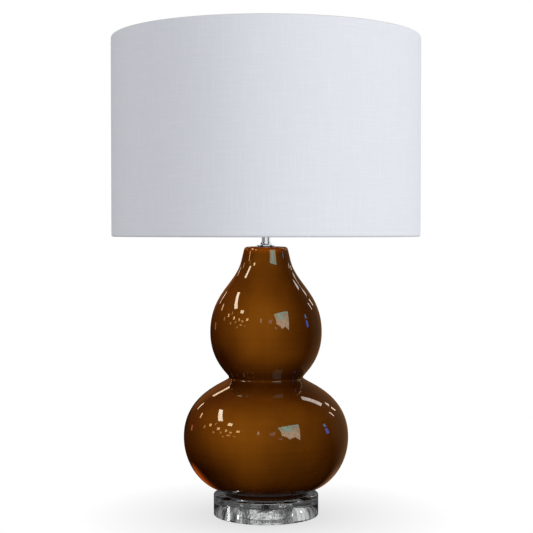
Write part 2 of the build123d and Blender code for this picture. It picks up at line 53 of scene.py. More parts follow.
import bmesh
import bpy
from bpy.props import FloatProperty, FloatVectorProperty, IntProperty, PointerProperty
from mathutils import Vector, noise

bl_info = {
    "name": "Double Gourd Lamp",
    "version": (1, 0, 0),
    "blender": (4, 5, 0),
    "location": "3D Viewport > Sidebar > Lamp",
    "description": "Dresses the packed frame of a double gourd table lamp, piece by piece",
    "category": "Object",
}

SEED = 7


# ---- settings that a user would change ----
def length(name, description, default, low=0.0, high=1.0):
    return FloatProperty(name=name, description=description, default=default, min=low, max=high,
                         precision=4, subtype="DISTANCE", unit="LENGTH")


def share(name, description, default, low=0.0, high=1.0):
    return FloatProperty(name=name, description=description, default=default, min=low, max=high,
                         subtype="FACTOR")


def power(name, description, default):
    return FloatProperty(name=name, description=description, default=default, min=0.0, max=500.0,
                         unit="POWER")


def colour(name, description, default):
    return FloatVectorProperty(name=name, description=description, default=default, min=0.0, max=1.0,
                               size=3, subtype="COLOR")


class GourdSettings(bpy.types.PropertyGroup):
    ground: colour("Ground", "Colour of the body under the glaze", (0.60, 0.42, 0.12))
    amber: colour("Amber", "What the glaze lets through where it lies thin", (0.26, 0.112, 0.024))
    # brown is also painted into the glaze as shade, low on the left of the belly and of the bulb and on the bulb's
    # right
    brown: colour("Brown", "What the glaze lets through where it pools", (0.09, 0.033, 0.008))
    thin: colour("Thin glaze", "What the glaze lets through where it breaks over the neck's rim", (0.40, 0.125, 0.014))
    clay: colour("Clay", "Colour of the bare clay under the foot and inside", (0.52, 0.43, 0.34))
    gloss: share("Gloss roughness", "Roughness of the clear top coat", 0.018)
    ripple: share("Ripple", "Strength of the glaze's slow ripple", 0.020)
    steps: IntProperty(name="Steps", description="Divisions round the gourd", default=192, min=24, max=720)


class DiscSettings(bpy.types.PropertyGroup):
    tint: colour("Tint", "Colour of the clear disc", (0.955, 0.965, 0.965))
    edge: length("Edge round", "Radius of the disc's polished edges", 0.0008, 0.0, 0.003)
    steps: IntProperty(name="Steps", description="Divisions round the disc", default=256, min=24, max=720)


class ShadeSettings(bpy.types.PropertyGroup):
    linen: colour("Linen", "Colour of the linen's thick threads", (0.824, 0.841, 0.894))
    shadow: colour("Ground", "Colour of the linen between its thick threads", (0.788, 0.806, 0.861))
    # painted shade: this colour darkens the fold along the top edge and the underside of the bottom hem
    edge: colour("Edge", "Colour of the fold along the top edge", (0.78, 0.78, 0.80))
    hem_line: length("Hem line", "Height of the hem's line above each edge", 0.0058, 0.0, 0.03)
    seam_width: length("Seam width", "Width of the lap seam at the back", 0.011, 0.0, 0.05)
    steps: IntProperty(name="Steps", description="Divisions round the shade", default=480, min=48, max=1440)


class StageSettings(bpy.types.PropertyGroup):
    floor: colour("Floor", "Colour of the plain floor", (0.86, 0.86, 0.86))
    sky: share("Sky", "Level of the light from all round", 0.41, 0.0, 2.0)
    shade_key: power("Shade key", "Power of the soft light on the shade from the front right", 156.0)
    shade_fill: power("Shade fill", "Power of the soft light on the shade from the front left", 77.0)
    base_key: power("Base key", "Power of the upright light on the base from the front", 1.2)
    back: power("Back light", "Power of the soft light from behind", 20.0)
    room: share("Room", "Level of the dark room that the glaze reflects", 0.02)


class CameraSettings(bpy.types.PropertyGroup):
    place: FloatVectorProperty(name="Place", description="Where the camera stands", size=3,
                               default=(0.0007, -1.7786, 0.3981), subtype="TRANSLATION", unit="LENGTH")
    tilt: FloatProperty(name="Tilt", description="How far the camera looks down",
                        default=math.radians(1.575), subtype="ANGLE", unit="ROTATION")
    lens: FloatProperty(name="Lens", description="Focal length in millimetres on a 36 mm sensor",
                        default=85.78, min=10.0, max=300.0, unit="CAMERA")


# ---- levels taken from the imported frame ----
def low(node):
    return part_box(node)[0].z


def high(node):
    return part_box(node)[1].z


def reach(node):
    """The node's largest distance from the lamp's axis along X."""
    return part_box(node)[1].x


# ---- meshes ----
def keep_mesh(name, mesh, body, slot, *stands_for):
    """Links a finished mesh as a piece that rides on a body."""
    piece = bpy.data.objects.new(name, mesh)
    bpy.context.scene.collection.objects.link(piece)
    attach(piece, body)
    if stands_for:
        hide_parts(*stands_for)
    return piece


def smooth(mesh, sharp_degrees=40.0):
    """Smooth shading that stays sharp where faces meet at more than the angle."""
    mesh.polygons.foreach_set("use_smooth", [True] * len(mesh.polygons))
    mesh.set_sharp_from_angle(angle=math.radians(sharp_degrees))
    mesh.update()


def turned(name, loop, steps, move=None):
    """A mesh turned about the axis from a closed loop of (radius, height) points.

    The loop runs with the material on its left, seen with the axis at the left and up upwards.
    move takes a point and its angle, and returns where it goes.
    """
    vertices, faces = [], []
    count = len(loop)
    for step in range(steps):
        angle = 2 * math.pi * step / steps
        for radius, height in loop:
            point = Vector((radius * math.sin(angle), -radius * math.cos(angle), height))
            vertices.append(move(point, angle) if move else point)
    for step in range(steps):
        this, following = step * count, (step + 1) % steps * count
        for index in range(count):
            after = (index + 1) % count
            faces.append((this + index, following + index, following + after, this + after))
    mesh = bpy.data.meshes.new(name)
    mesh.from_pydata(vertices, [], faces)
    mesh.validate()
    return mesh


def bezier(start, pull_start, pull_end, end, count):
    """Points along a cubic curve, without its last one."""
    points = []
    for index in range(count):
        t = index / count
        a, b, c, d = (1 - t) ** 3, 3 * t * (1 - t) ** 2, 3 * t * t * (1 - t), t ** 3
        points.append(tuple(a * p + b * q + c * r + d * s
                            for p, q, r, s in zip(start, pull_start, pull_end, end)))
    return points


def corner(centre, radius, first, last, count):
    """Points of an arc about a centre, both ends included; angles in degrees."""
    points = []
    for index in range(count + 1):
        angle = math.radians(first + (last - first) * index / count)
        points.append((centre[0] + radius * math.cos(angle), centre[1] + radius * math.sin(angle)))
    return points


def inset(points, depth):
    """The same line moved to its left by a depth, square to itself."""
    moved = []
    for index, (radius, height) in enumerate(points):
        before = points[max(index - 1, 0)]
        after = points[min(index + 1, len(points) - 1)]
        along = Vector((after[0] - before[0], after[1] - before[1])).normalized()
        moved.append((radius - along.y * depth, height + along.x * depth))
    return moved


# ---- materials ----
class Finish:
    """A procedural material being put together round one Principled shader."""

    def __init__(self, name, **sockets):
        self.material = bpy.data.materials.new(name)
        self.material.use_nodes = True
        self.tree = self.material.node_tree
        self.tree.nodes.clear()
        output = self.node("OutputMaterial")
        self.shader = self.node("BsdfPrincipled")
        self.link(self.shader.outputs["BSDF"], output.inputs["Surface"])
        for socket, value in sockets.items():
            self.shader.inputs[socket.replace("_", " ")].default_value = value
        self.place = self.node("TexCoord").outputs["Object"]

    def node(self, kind, **settings):
        made = self.tree.nodes.new("ShaderNode" + kind)
        for setting, value in settings.items():
            setattr(made, setting, value)
        return made

    def link(self, source, target):
        self.tree.links.new(source, target)

    def feed(self, socket, source):
        self.link(source, self.shader.inputs[socket])

    def math(self, operation, *values):
        """A math node fed with numbers or with other nodes' outputs."""
        made = self.node("Math", operation=operation)
        for socket, value in zip(made.inputs, values):
            if isinstance(value, (int, float)):
                socket.default_value = value
            else:
                self.link(value, socket)
        return made.outputs["Value"]

    def stretch(self, scale, place=None):
        made = self.node("Mapping")
        made.inputs["Scale"].default_value = scale
        self.link(place or self.place, made.inputs["Vector"])
        return made.outputs["Vector"]

    def noise(self, scale, detail=3.0, roughness=0.5, place=None, warp=0.0):
        made = self.node("TexNoise")
        made.inputs["Scale"].default_value = scale
        made.inputs["Detail"].default_value = detail
        made.inputs["Roughness"].default_value = roughness
        made.inputs["Distortion"].default_value = warp
        self.link(place or self.place, made.inputs["Vector"])
        return made.outputs["Fac"]

    def between(self, source, low_in, high_in, low_out=0.0, high_out=1.0, smooth_step=False):
        made = self.node("MapRange", interpolation_type="SMOOTHSTEP" if smooth_step else "LINEAR")
        for socket, value in zip(made.inputs[1:5], (low_in, high_in, low_out, high_out)):
            socket.default_value = value
        self.link(source, made.inputs["Value"])
        return made.outputs["Result"]

    def mix(self, factor, first, second):
        """A colour between two colours, each a colour or a node's output."""
        made = self.node("Mix", data_type="RGBA")
        self.link(factor, made.inputs["Factor"])
        for socket, value in ((made.inputs[6], first), (made.inputs[7], second)):
            if isinstance(value, bpy.types.NodeSocket):
                self.link(value, socket)
            else:
                socket.default_value = (*value, 1.0)
        return made.outputs[2]

    def bump(self, height, strength, distance, before=None):
        made = self.node("Bump")
        made.inputs["Strength"].default_value = strength
        made.inputs["Distance"].default_value = distance
        self.link(height, made.inputs["Height"])
        if before:
            self.link(before, made.inputs["Normal"])
        return made.outputs["Normal"]

    def axes(self, place=None):
        made = self.node("SeparateXYZ")
        self.link(place or self.place, made.inputs["Vector"])
        return made.outputs["X"], made.outputs["Y"], made.outputs["Z"]

    def join(self, x, y, z):
        made = self.node("CombineXYZ")
        for socket, value in zip(made.inputs, (x, y, z)):
            if isinstance(value, (int, float)):
                socket.default_value = value
            else:
                self.link(value, socket)
        return made.outputs["Vector"]

    def unrolled(self, radius):
        """Round the axis as a length, and the height: 0 is the front, the ends meet at the back."""
        x, y, z = self.axes()
        angle = self.math("ARCTAN2", x, self.math("MULTIPLY", y, -1.0))
        return self.math("MULTIPLY", angle, radius), z


def shaded(rgb, factor):
    return tuple(channel * factor for channel in rgb)


def metal_finish(name, rgb, roughness, grain=400.0, grain_depth=0.00002, squash=(1.0, 1.0, 12.0), dull=0.7):
    """Metal with fine lines, smudged roughness and slightly uneven colour."""
    finish = Finish(name, Metallic=1.0)
    lines = finish.noise(grain, 4.0, 0.6, finish.stretch(squash))
    smudge = finish.noise(90.0, 4.0, 0.55, warp=0.4)
    finish.feed("Base Color", finish.mix(finish.between(smudge, 0.35, 0.7), rgb, shaded(rgb, dull)))
    rough = finish.math("ADD", finish.between(smudge, 0.3, 0.75, roughness * 0.75, roughness * 1.35),
                        finish.between(lines, 0.3, 0.7, -roughness * 0.15, roughness * 0.15))
    finish.feed("Roughness", rough)
    finish.feed("Normal", finish.bump(lines, 0.25, grain_depth))
    return finish.material


def steel_finish():
    return metal_finish("plated_steel", (0.60, 0.60, 0.585), 0.22, 900.0, 0.00003)


def threaded_finish():
    """Plated steel with the thread's ridges round it, their roots painted darker as shade, for the lamp rod."""
    finish = Finish("threaded_steel", Metallic=1.0)
    around, height = finish.unrolled(0.005)
    turn = finish.math("ADD", finish.math("MULTIPLY", height, 1000.0),
                       finish.math("MULTIPLY", around, 1 / (2 * math.pi * 0.005)))
    ridge = finish.math("PINGPONG", turn, 0.5)
    smudge = finish.noise(120.0, 4.0, 0.6)
    # painted shade: the thread's roots are painted darker than its crests
    finish.feed("Base Color", finish.mix(finish.between(ridge, 0.0, 0.35), (0.30, 0.30, 0.29), (0.62, 0.62, 0.60)))
    finish.feed("Roughness", finish.between(smudge, 0.3, 0.7, 0.2, 0.38))
    finish.feed("Normal", finish.bump(ridge, 0.8, 0.0005))
    return finish.material


def chrome_finish():
    """Polished chrome with hairline rubbing marks."""
    finish = Finish("polished_chrome", Metallic=1.0)
    hairline = finish.noise(1500.0, 2.0, 0.5, finish.stretch((0.15, 0.15, 1.0)))
    haze = finish.noise(70.0, 3.0, 0.5)
    finish.feed("Base Color", finish.mix(finish.between(haze, 0.3, 0.7), (0.79, 0.80, 0.82), (0.70, 0.71, 0.73)))
    finish.feed("Roughness", finish.between(haze, 0.3, 0.75, 0.035, 0.09))
    finish.feed("Normal", finish.bump(hairline, 0.06, 0.00001))
    return finish.material


def brass_finish():
    finish = Finish("bare_brass", Metallic=1.0)
    tarnish = finish.noise(140.0, 5.0, 0.6, warp=0.6)
    lines = finish.noise(900.0, 2.0, 0.5, finish.stretch((1.0, 1.0, 8.0)))
    finish.feed("Base Color", finish.mix(finish.between(tarnish, 0.4, 0.75), (0.72, 0.50, 0.20), (0.46, 0.28, 0.10)))
    finish.feed("Roughness", finish.between(tarnish, 0.3, 0.8, 0.2, 0.42))
    finish.feed("Normal", finish.bump(lines, 0.2, 0.00002))
    return finish.material


def glaze_finish(settings, foot, top):
    """Amber glass over a pale body: it darkens with its depth, so it pools brown and its edges deepen; painted shade
    also deepens its tint low on the left of the belly and of the bulb, and on the bulb's right.
    """
    finish = Finish("amber_glaze", Roughness=0.6, Specular_IOR_Level=0.0, Coat_Weight=1.0,
                    Coat_Roughness=settings.gloss, Coat_IOR=1.5)
    x, y, z = finish.axes()
    cloud = finish.noise(9.0, 3.0, 0.5, warp=0.5)
    runs = finish.noise(26.0, 4.0, 0.55, finish.stretch((1.0, 1.0, 0.16)))
    throwing = finish.noise(1.0, 3.0, 0.6, finish.stretch((5.0, 5.0, 380.0)))
    fleck = finish.noise(420.0, 2.0, 0.6)
    waist_gap = finish.math("ABSOLUTE", finish.math("SUBTRACT", z, foot + 0.164))
    pool_and_shade = finish.math("MAXIMUM", finish.between(z, foot, foot + 0.034, 0.9, 0.0, True),
                       finish.between(waist_gap, 0.0, 0.048, 0.62, 0.0, True))
    # painted shade: the tint is deepened towards brown low on the left of the belly and of the bulb, and on the bulb's
    # right, where those sides lie in shade
    painted_shade_zones = ((x, -0.090, -0.020, z, foot + 0.035, foot + 0.095, 0.80, 0.0),
                 (x, -0.070, -0.010, z, foot + 0.180, foot + 0.235, 0.70, 0.0),
                 (x, 0.055, -0.010, z, foot + 0.185, foot + 0.225, 0.0, 0.34))
    above_waist = finish.between(z, foot + 0.160, foot + 0.166)
    for index, (side, full, none, level, low_z, high_z, at_low, at_high) in enumerate(painted_shade_zones):
        painted_shade = finish.math("MULTIPLY", finish.between(side, full, none, 1.0, 0.0, True),
                            finish.between(level, low_z, high_z, at_low, at_high, True))
        if index:
            painted_shade = finish.math("MULTIPLY", painted_shade, above_waist)
        pool_and_shade = finish.math("MAXIMUM", pool_and_shade, painted_shade)
    uneven = finish.math("ADD", finish.between(cloud, 0.35, 0.68, 0.0, 0.34), finish.between(runs, 0.35, 0.7, 0.0, 0.2))
    uneven = finish.math("ADD", uneven, finish.between(throwing, 0.4, 0.7, 0.0, 0.08))
    uneven = finish.math("ADD", uneven, finish.between(fleck, 0.58, 0.8, 0.0, 0.2))
    # the depth carries the glaze's real pooling and unevenness together with the painted shade
    depth = finish.math("MINIMUM", finish.math("ADD", pool_and_shade, uneven), 1.0)
    rim = finish.between(z, top - 0.011, top - 0.003, 0.0, 0.9, True)
    finish.feed("Coat Tint", finish.mix(rim, finish.mix(depth, settings.amber, settings.brown), settings.thin))
    finish.feed("Base Color", finish.mix(finish.between(cloud, 0.3, 0.7), settings.ground, shaded(settings.ground, 0.9)))
    ripple = finish.noise(34.0, 2.0, 0.45)
    slow = finish.bump(ripple, settings.ripple, 0.002)
    ringed = finish.bump(throwing, 0.02, 0.0004, slow)
    finish.feed("Coat Normal", finish.bump(finish.noise(650.0, 1.0, 0.5), 0.012, 0.0001, ringed))
    return finish.material


def clay_finish(settings):
    """Bare fired clay with throwing rings and grit."""
    finish = Finish("bare_clay", Specular_IOR_Level=0.25)
    grit = finish.noise(900.0, 4.0, 0.65)
    stain = finish.noise(30.0, 4.0, 0.55, warp=0.5)
    x, y, z = finish.axes()
    rings = finish.math("SINE", finish.math("MULTIPLY", z, 1400.0))
    finish.feed("Base Color", finish.mix(finish.between(stain, 0.35, 0.7), settings.clay, shaded(settings.clay, 0.66)))
    finish.feed("Roughness", finish.between(grit, 0.3, 0.7, 0.82, 0.96))
    finish.feed("Normal", finish.bump(grit, 0.5, 0.0003, finish.bump(rings, 0.25, 0.0004)))
    return finish.material


def acrylic_finish(settings):
    """Polished clear acrylic: flame-polished waviness and a few fine scratches in the gloss."""
    finish = Finish("clear_acrylic", Transmission_Weight=1.0, IOR=1.49, Roughness=0.0)
    veil = finish.noise(14.0, 2.0, 0.5)
    finish.feed("Base Color", finish.mix(finish.between(veil, 0.3, 0.7), settings.tint, shaded(settings.tint, 0.985)))
    scratch = finish.noise(260.0, 3.0, 0.7, finish.stretch((1.0, 1.0, 6.0)))
    finish.feed("Roughness", finish.between(scratch, 0.62, 0.8, 0.004, 0.05))
    finish.feed("Normal", finish.bump(finish.noise(22.0, 1.0, 0.4), 0.010, 0.001))
    return finish.material


def machined_acrylic_finish(settings):
    """The turned walls of the disc's recess, with the cutter's rings left in them."""
    finish = Finish("machined_acrylic", Transmission_Weight=1.0, IOR=1.49)
    finish.shader.inputs["Base Color"].default_value = (*settings.tint, 1.0)
    x, y, z = finish.axes()
    distance = finish.math("SQRT", finish.math("ADD", finish.math("MULTIPLY", x, x), finish.math("MULTIPLY", y, y)))
    ring = finish.math("SINE", finish.math("MULTIPLY", finish.math("ADD", distance, z), 5200.0))
    chatter = finish.noise(210.0, 2.0, 0.5, finish.stretch((1.0, 1.0, 0.7)), warp=0.6)
    finish.feed("Roughness", finish.between(chatter, 0.4, 0.7, 0.0, 0.03))
    finish.feed("Normal", finish.bump(chatter, 1.0, 0.0012, finish.bump(ring, 0.08, 0.0003)))
    return finish.material


def vinyl_finish():
    """Clear soft vinyl with a faint haze and grain."""
    finish = Finish("clear_vinyl", Transmission_Weight=0.75, IOR=1.46)
    haze = finish.noise(220.0, 3.0, 0.6)
    finish.feed("Base Color", finish.mix(finish.between(haze, 0.3, 0.7), (0.88, 0.89, 0.89), (0.74, 0.76, 0.76)))
    finish.feed("Roughness", finish.between(haze, 0.3, 0.7, 0.22, 0.42))
    finish.feed("Normal", finish.bump(haze, 0.2, 0.0002))
    return finish.material


def rubber_finish():
    finish = Finish("black_rubber", Specular_IOR_Level=0.35)
    grain = finish.noise(1400.0, 3.0, 0.6)
    bloom = finish.noise(160.0, 3.0, 0.6)
    finish.feed("Base Color", finish.mix(finish.between(bloom, 0.4, 0.75), (0.022, 0.022, 0.023), (0.055, 0.054, 0.052)))
    finish.feed("Roughness", finish.between(grain, 0.3, 0.7, 0.62, 0.82))
    finish.feed("Normal", finish.bump(grain, 0.35, 0.0001))
    return finish.material


def moulding_finish():
    """Pressed black phenolic with a dull swirl in its gloss."""
    finish = Finish("black_moulding")
    swirl = finish.noise(80.0, 4.0, 0.6, warp=1.2)
    grain = finish.noise(1100.0, 2.0, 0.5)
    finish.feed("Base Color", finish.mix(finish.between(swirl, 0.35, 0.7), (0.020, 0.019, 0.018), (0.042, 0.036, 0.032)))
    finish.feed("Roughness", finish.between(swirl, 0.3, 0.75, 0.22, 0.4))
    finish.feed("Normal", finish.bump(grain, 0.12, 0.00006))
    return finish.material


def card_finish():
    """Vulcanised card with its long fibres."""
    finish = Finish("insulating_card", Specular_IOR_Level=0.3)
    around, height = finish.unrolled(0.015)
    fibre = finish.noise(500.0, 4.0, 0.65, finish.join(finish.math("MULTIPLY", around, 0.2), height, 0.0))
    finish.feed("Base Color", finish.mix(finish.between(fibre, 0.3, 0.7), (0.56, 0.42, 0.27), (0.38, 0.26, 0.15)))
    finish.feed("Roughness", finish.between(fibre, 0.3, 0.7, 0.72, 0.88))
    finish.feed("Normal", finish.bump(fibre, 0.4, 0.0001))
    return finish.material


def opal_finish():
    """Opal glass: milky, with a clear gloss and slightly uneven density."""
    finish = Finish("opal_glass", Subsurface_Weight=0.35, Subsurface_Scale=0.004, Coat_Weight=0.6,
                    Coat_Roughness=0.03)
    cloud = finish.noise(45.0, 3.0, 0.5)
    finish.feed("Base Color", finish.mix(finish.between(cloud, 0.3, 0.7), (0.90, 0.90, 0.88), (0.84, 0.84, 0.81)))
    finish.feed("Roughness", finish.between(cloud, 0.3, 0.7, 0.12, 0.2))
    finish.feed("Normal", finish.bump(cloud, 0.05, 0.0005))
    return finish.material


def powder_finish():
    """White powder coat with its fine orange peel."""
    finish = Finish("white_powder_coat")
    peel = finish.noise(700.0, 2.0, 0.5)
    dust = finish.noise(60.0, 4.0, 0.6)
    finish.feed("Base Color", finish.mix(finish.between(dust, 0.4, 0.8), (0.86, 0.86, 0.85), (0.76, 0.755, 0.74)))
    finish.feed("Roughness", finish.between(peel, 0.3, 0.7, 0.3, 0.45))
    finish.feed("Normal", finish.bump(peel, 0.3, 0.0001))
    return finish.material


def styrene_finish():
    """The shade's white lining sheet, seen from inside, with the cloth showing through faintly."""
    finish = Finish("white_styrene")
    around, height = finish.unrolled(0.213)
    show = finish.noise(1.0, 3.0, 0.6, finish.join(finish.math("MULTIPLY", around, 60.0), finish.math("MULTIPLY", height, 700.0), 0.0))
    finish.feed("Base Color", finish.mix(finish.between(show, 0.3, 0.7), (0.87, 0.87, 0.86), (0.80, 0.80, 0.79)))
    finish.feed("Roughness", finish.between(show, 0.3, 0.7, 0.42, 0.55))
    finish.feed("Normal", finish.bump(show, 0.08, 0.0002))
    return finish.material


def linen_finish(settings, radius, bottom, top):
    """Plain-weave slub linen: an even ground, with thicker threads both ways that fade in and out; painted shade
    darkens its top fold and the underside of its bottom hem.
    """
    finish = Finish("white_linen", Specular_IOR_Level=0.15, Sheen_Weight=0.10, Sheen_Roughness=0.5)
    around, height = finish.unrolled(radius)

    def slubs(along_scale, across_scale, first, second, offset):
        place = finish.join(finish.math("MULTIPLY", first, along_scale), finish.math("MULTIPLY", second, across_scale), offset)
        return finish.noise(1.0, 2.0, 0.5, place)

    weft = finish.between(slubs(30.0, 420.0, around, height, 0.0), 0.52, 0.74)
    warp = finish.between(slubs(20.0, 390.0, height, around, 5.0), 0.50, 0.74)
    weft_broad = finish.between(slubs(13.0, 170.0, around, height, 11.0), 0.40, 0.66)
    warp_broad = finish.between(slubs(8.0, 190.0, height, around, 17.0), 0.40, 0.66)
    weave = finish.math("MULTIPLY", finish.math("SINE", finish.math("MULTIPLY", height, 2 * math.pi * 1150.0)),
                        finish.math("SINE", finish.math("MULTIPLY", around, 2 * math.pi * 1150.0)))
    slub = finish.math("ADD", weft, warp)
    broad = finish.math("ADD", weft_broad, warp_broad)
    tone = finish.math("ADD", finish.math("MULTIPLY", slub, 0.75), finish.math("MULTIPLY", broad, 0.12))
    from_top = finish.math("SUBTRACT", top, height)
    from_bottom = finish.math("SUBTRACT", height, bottom)
    line = finish.math("ABSOLUTE", finish.math("SUBTRACT", from_bottom, settings.hem_line))
    tone = finish.math("ADD", tone, finish.between(line, 0.0002, 0.0009, 0.6, 0.0, True))
    cloth = finish.mix(finish.between(tone, 0.0, 1.0), settings.shadow, settings.linen)
    # painted shade: the fold along the top edge and the underside of the bottom hem are darkened towards the edge
    # colour, where shade falls on them
    painted_fold_shade = finish.between(from_top, 0.0010, 0.0024, 1.0, 0.0, True)
    under = finish.between(from_bottom, 0.0006, 0.0022, 0.1, 0.0, True)
    finish.feed("Base Color", finish.mix(finish.math("MAXIMUM", painted_fold_shade, under), cloth, settings.edge))
    finish.feed("Roughness", finish.between(slub, 0.0, 1.2, 0.92, 0.8))
    threads = finish.bump(weave, 0.12, 0.0001)
    raised = finish.bump(slub, 0.22, 0.0002, threads)
    finish.feed("Normal", finish.bump(broad, 0.15, 0.0002, raised))
    return finish.material


def dress(finish, *nodes):
    """Gives CAD nodes a finish; their meshes stay as they are."""
    for node in nodes:
        for slot in frame["nodes"][node].material_slots:
            slot.material = finish


# ---- operators: one for each piece or group of like pieces ----
class LAMP_OT_polish_disc(bpy.types.Operator):
    """Turn the clear disc with its recess, and finish the pads and the gasket on it"""
    bl_idname = "lamp.polish_disc"
    bl_label = "Polish the Disc"

    recess_radius = 0.025
    passage_radius = 0.0054
    chatter = 0.0006
    chatter_size = 0.0032

    def chattered(self, bottom, recess_top):
        """Moves the recess's points outwards a little, where the cutter chattered."""
        def move(point, angle):
            distance = math.hypot(point.x, point.y)
            on_wall = abs(distance - self.recess_radius) < 0.0001 and bottom + 0.0005 < point.z
            on_roof = abs(point.z - recess_top) < 0.0001 and distance > self.passage_radius + 0.0005
            if not (on_wall or on_roof):
                return point
            depth = self.chatter * (0.5 + 0.5 * noise.noise(point / self.chatter_size))
            if on_roof:
                return point + Vector((0.0, 0.0, depth))
            return Vector((point.x, point.y, 0.0)) * (1 + depth / distance) + Vector((0.0, 0.0, point.z))
        return move

    def execute(self, context):
        settings = context.scene.lamp_disc
        bottom, top, radius = low("clear_disc"), high("clear_disc"), reach("clear_disc")
        recess_top = high("base_washer")
        edge, inner_edge = settings.edge, 0.0003
        loop = [(self.recess_radius + inner_edge, bottom)]
        loop += corner((radius - edge, bottom + edge), edge, -90, 0, 5)
        loop += corner((radius - edge, top - edge), edge, 0, 90, 5)
        loop += [(radius * 0.7, top), (radius * 0.4, top)]
        loop += corner((self.passage_radius + inner_edge, top - inner_edge), inner_edge, 90, 180, 2)
        loop += [(self.passage_radius, recess_top)]
        tool, rings, rows = 0.0006, 32, 26
        roof_end, wall_top = self.recess_radius - tool, recess_top - tool
        loop += [(self.passage_radius + (roof_end - self.passage_radius) * ring / rings, recess_top)
                 for ring in range(1, rings)]
        loop += corner((roof_end, wall_top), tool, 90, 0, 4)
        loop += [(self.recess_radius, wall_top + (bottom + inner_edge - wall_top) * row / rows)
                 for row in range(1, rows + 1)]
        mesh = turned("polished_disc", loop, settings.steps, self.chattered(bottom, recess_top))
        smooth(mesh)
        mesh.materials.append(acrylic_finish(settings))
        mesh.materials.append(machined_acrylic_finish(settings))
        for face in mesh.polygons:
            centre = face.center
            inside = math.hypot(centre.x, centre.y) < self.recess_radius + inner_edge
            face.material_index = 1 if inside and centre.z < top - inner_edge * 2 else 0
        keep_mesh("polished_disc", mesh, "base", "clear_acrylic", "clear_disc")
        dress(vinyl_finish(), "bumper_pads", "foot_gasket")
        return {"FINISHED"}


class LAMP_OT_plate_clamp(bpy.types.Operator):
    """Finish the rod, the nuts and the washers that clamp the lamp together"""
    bl_idname = "lamp.plate_clamp"
    bl_label = "Plate the Clamp"

    def execute(self, context):
        dress(steel_finish(), "base_washer", "lock_washer", "base_nut", "saddle_lock_nut", "holder_set_screw")
        dress(threaded_finish(), "centre_rod")
        return {"FINISHED"}


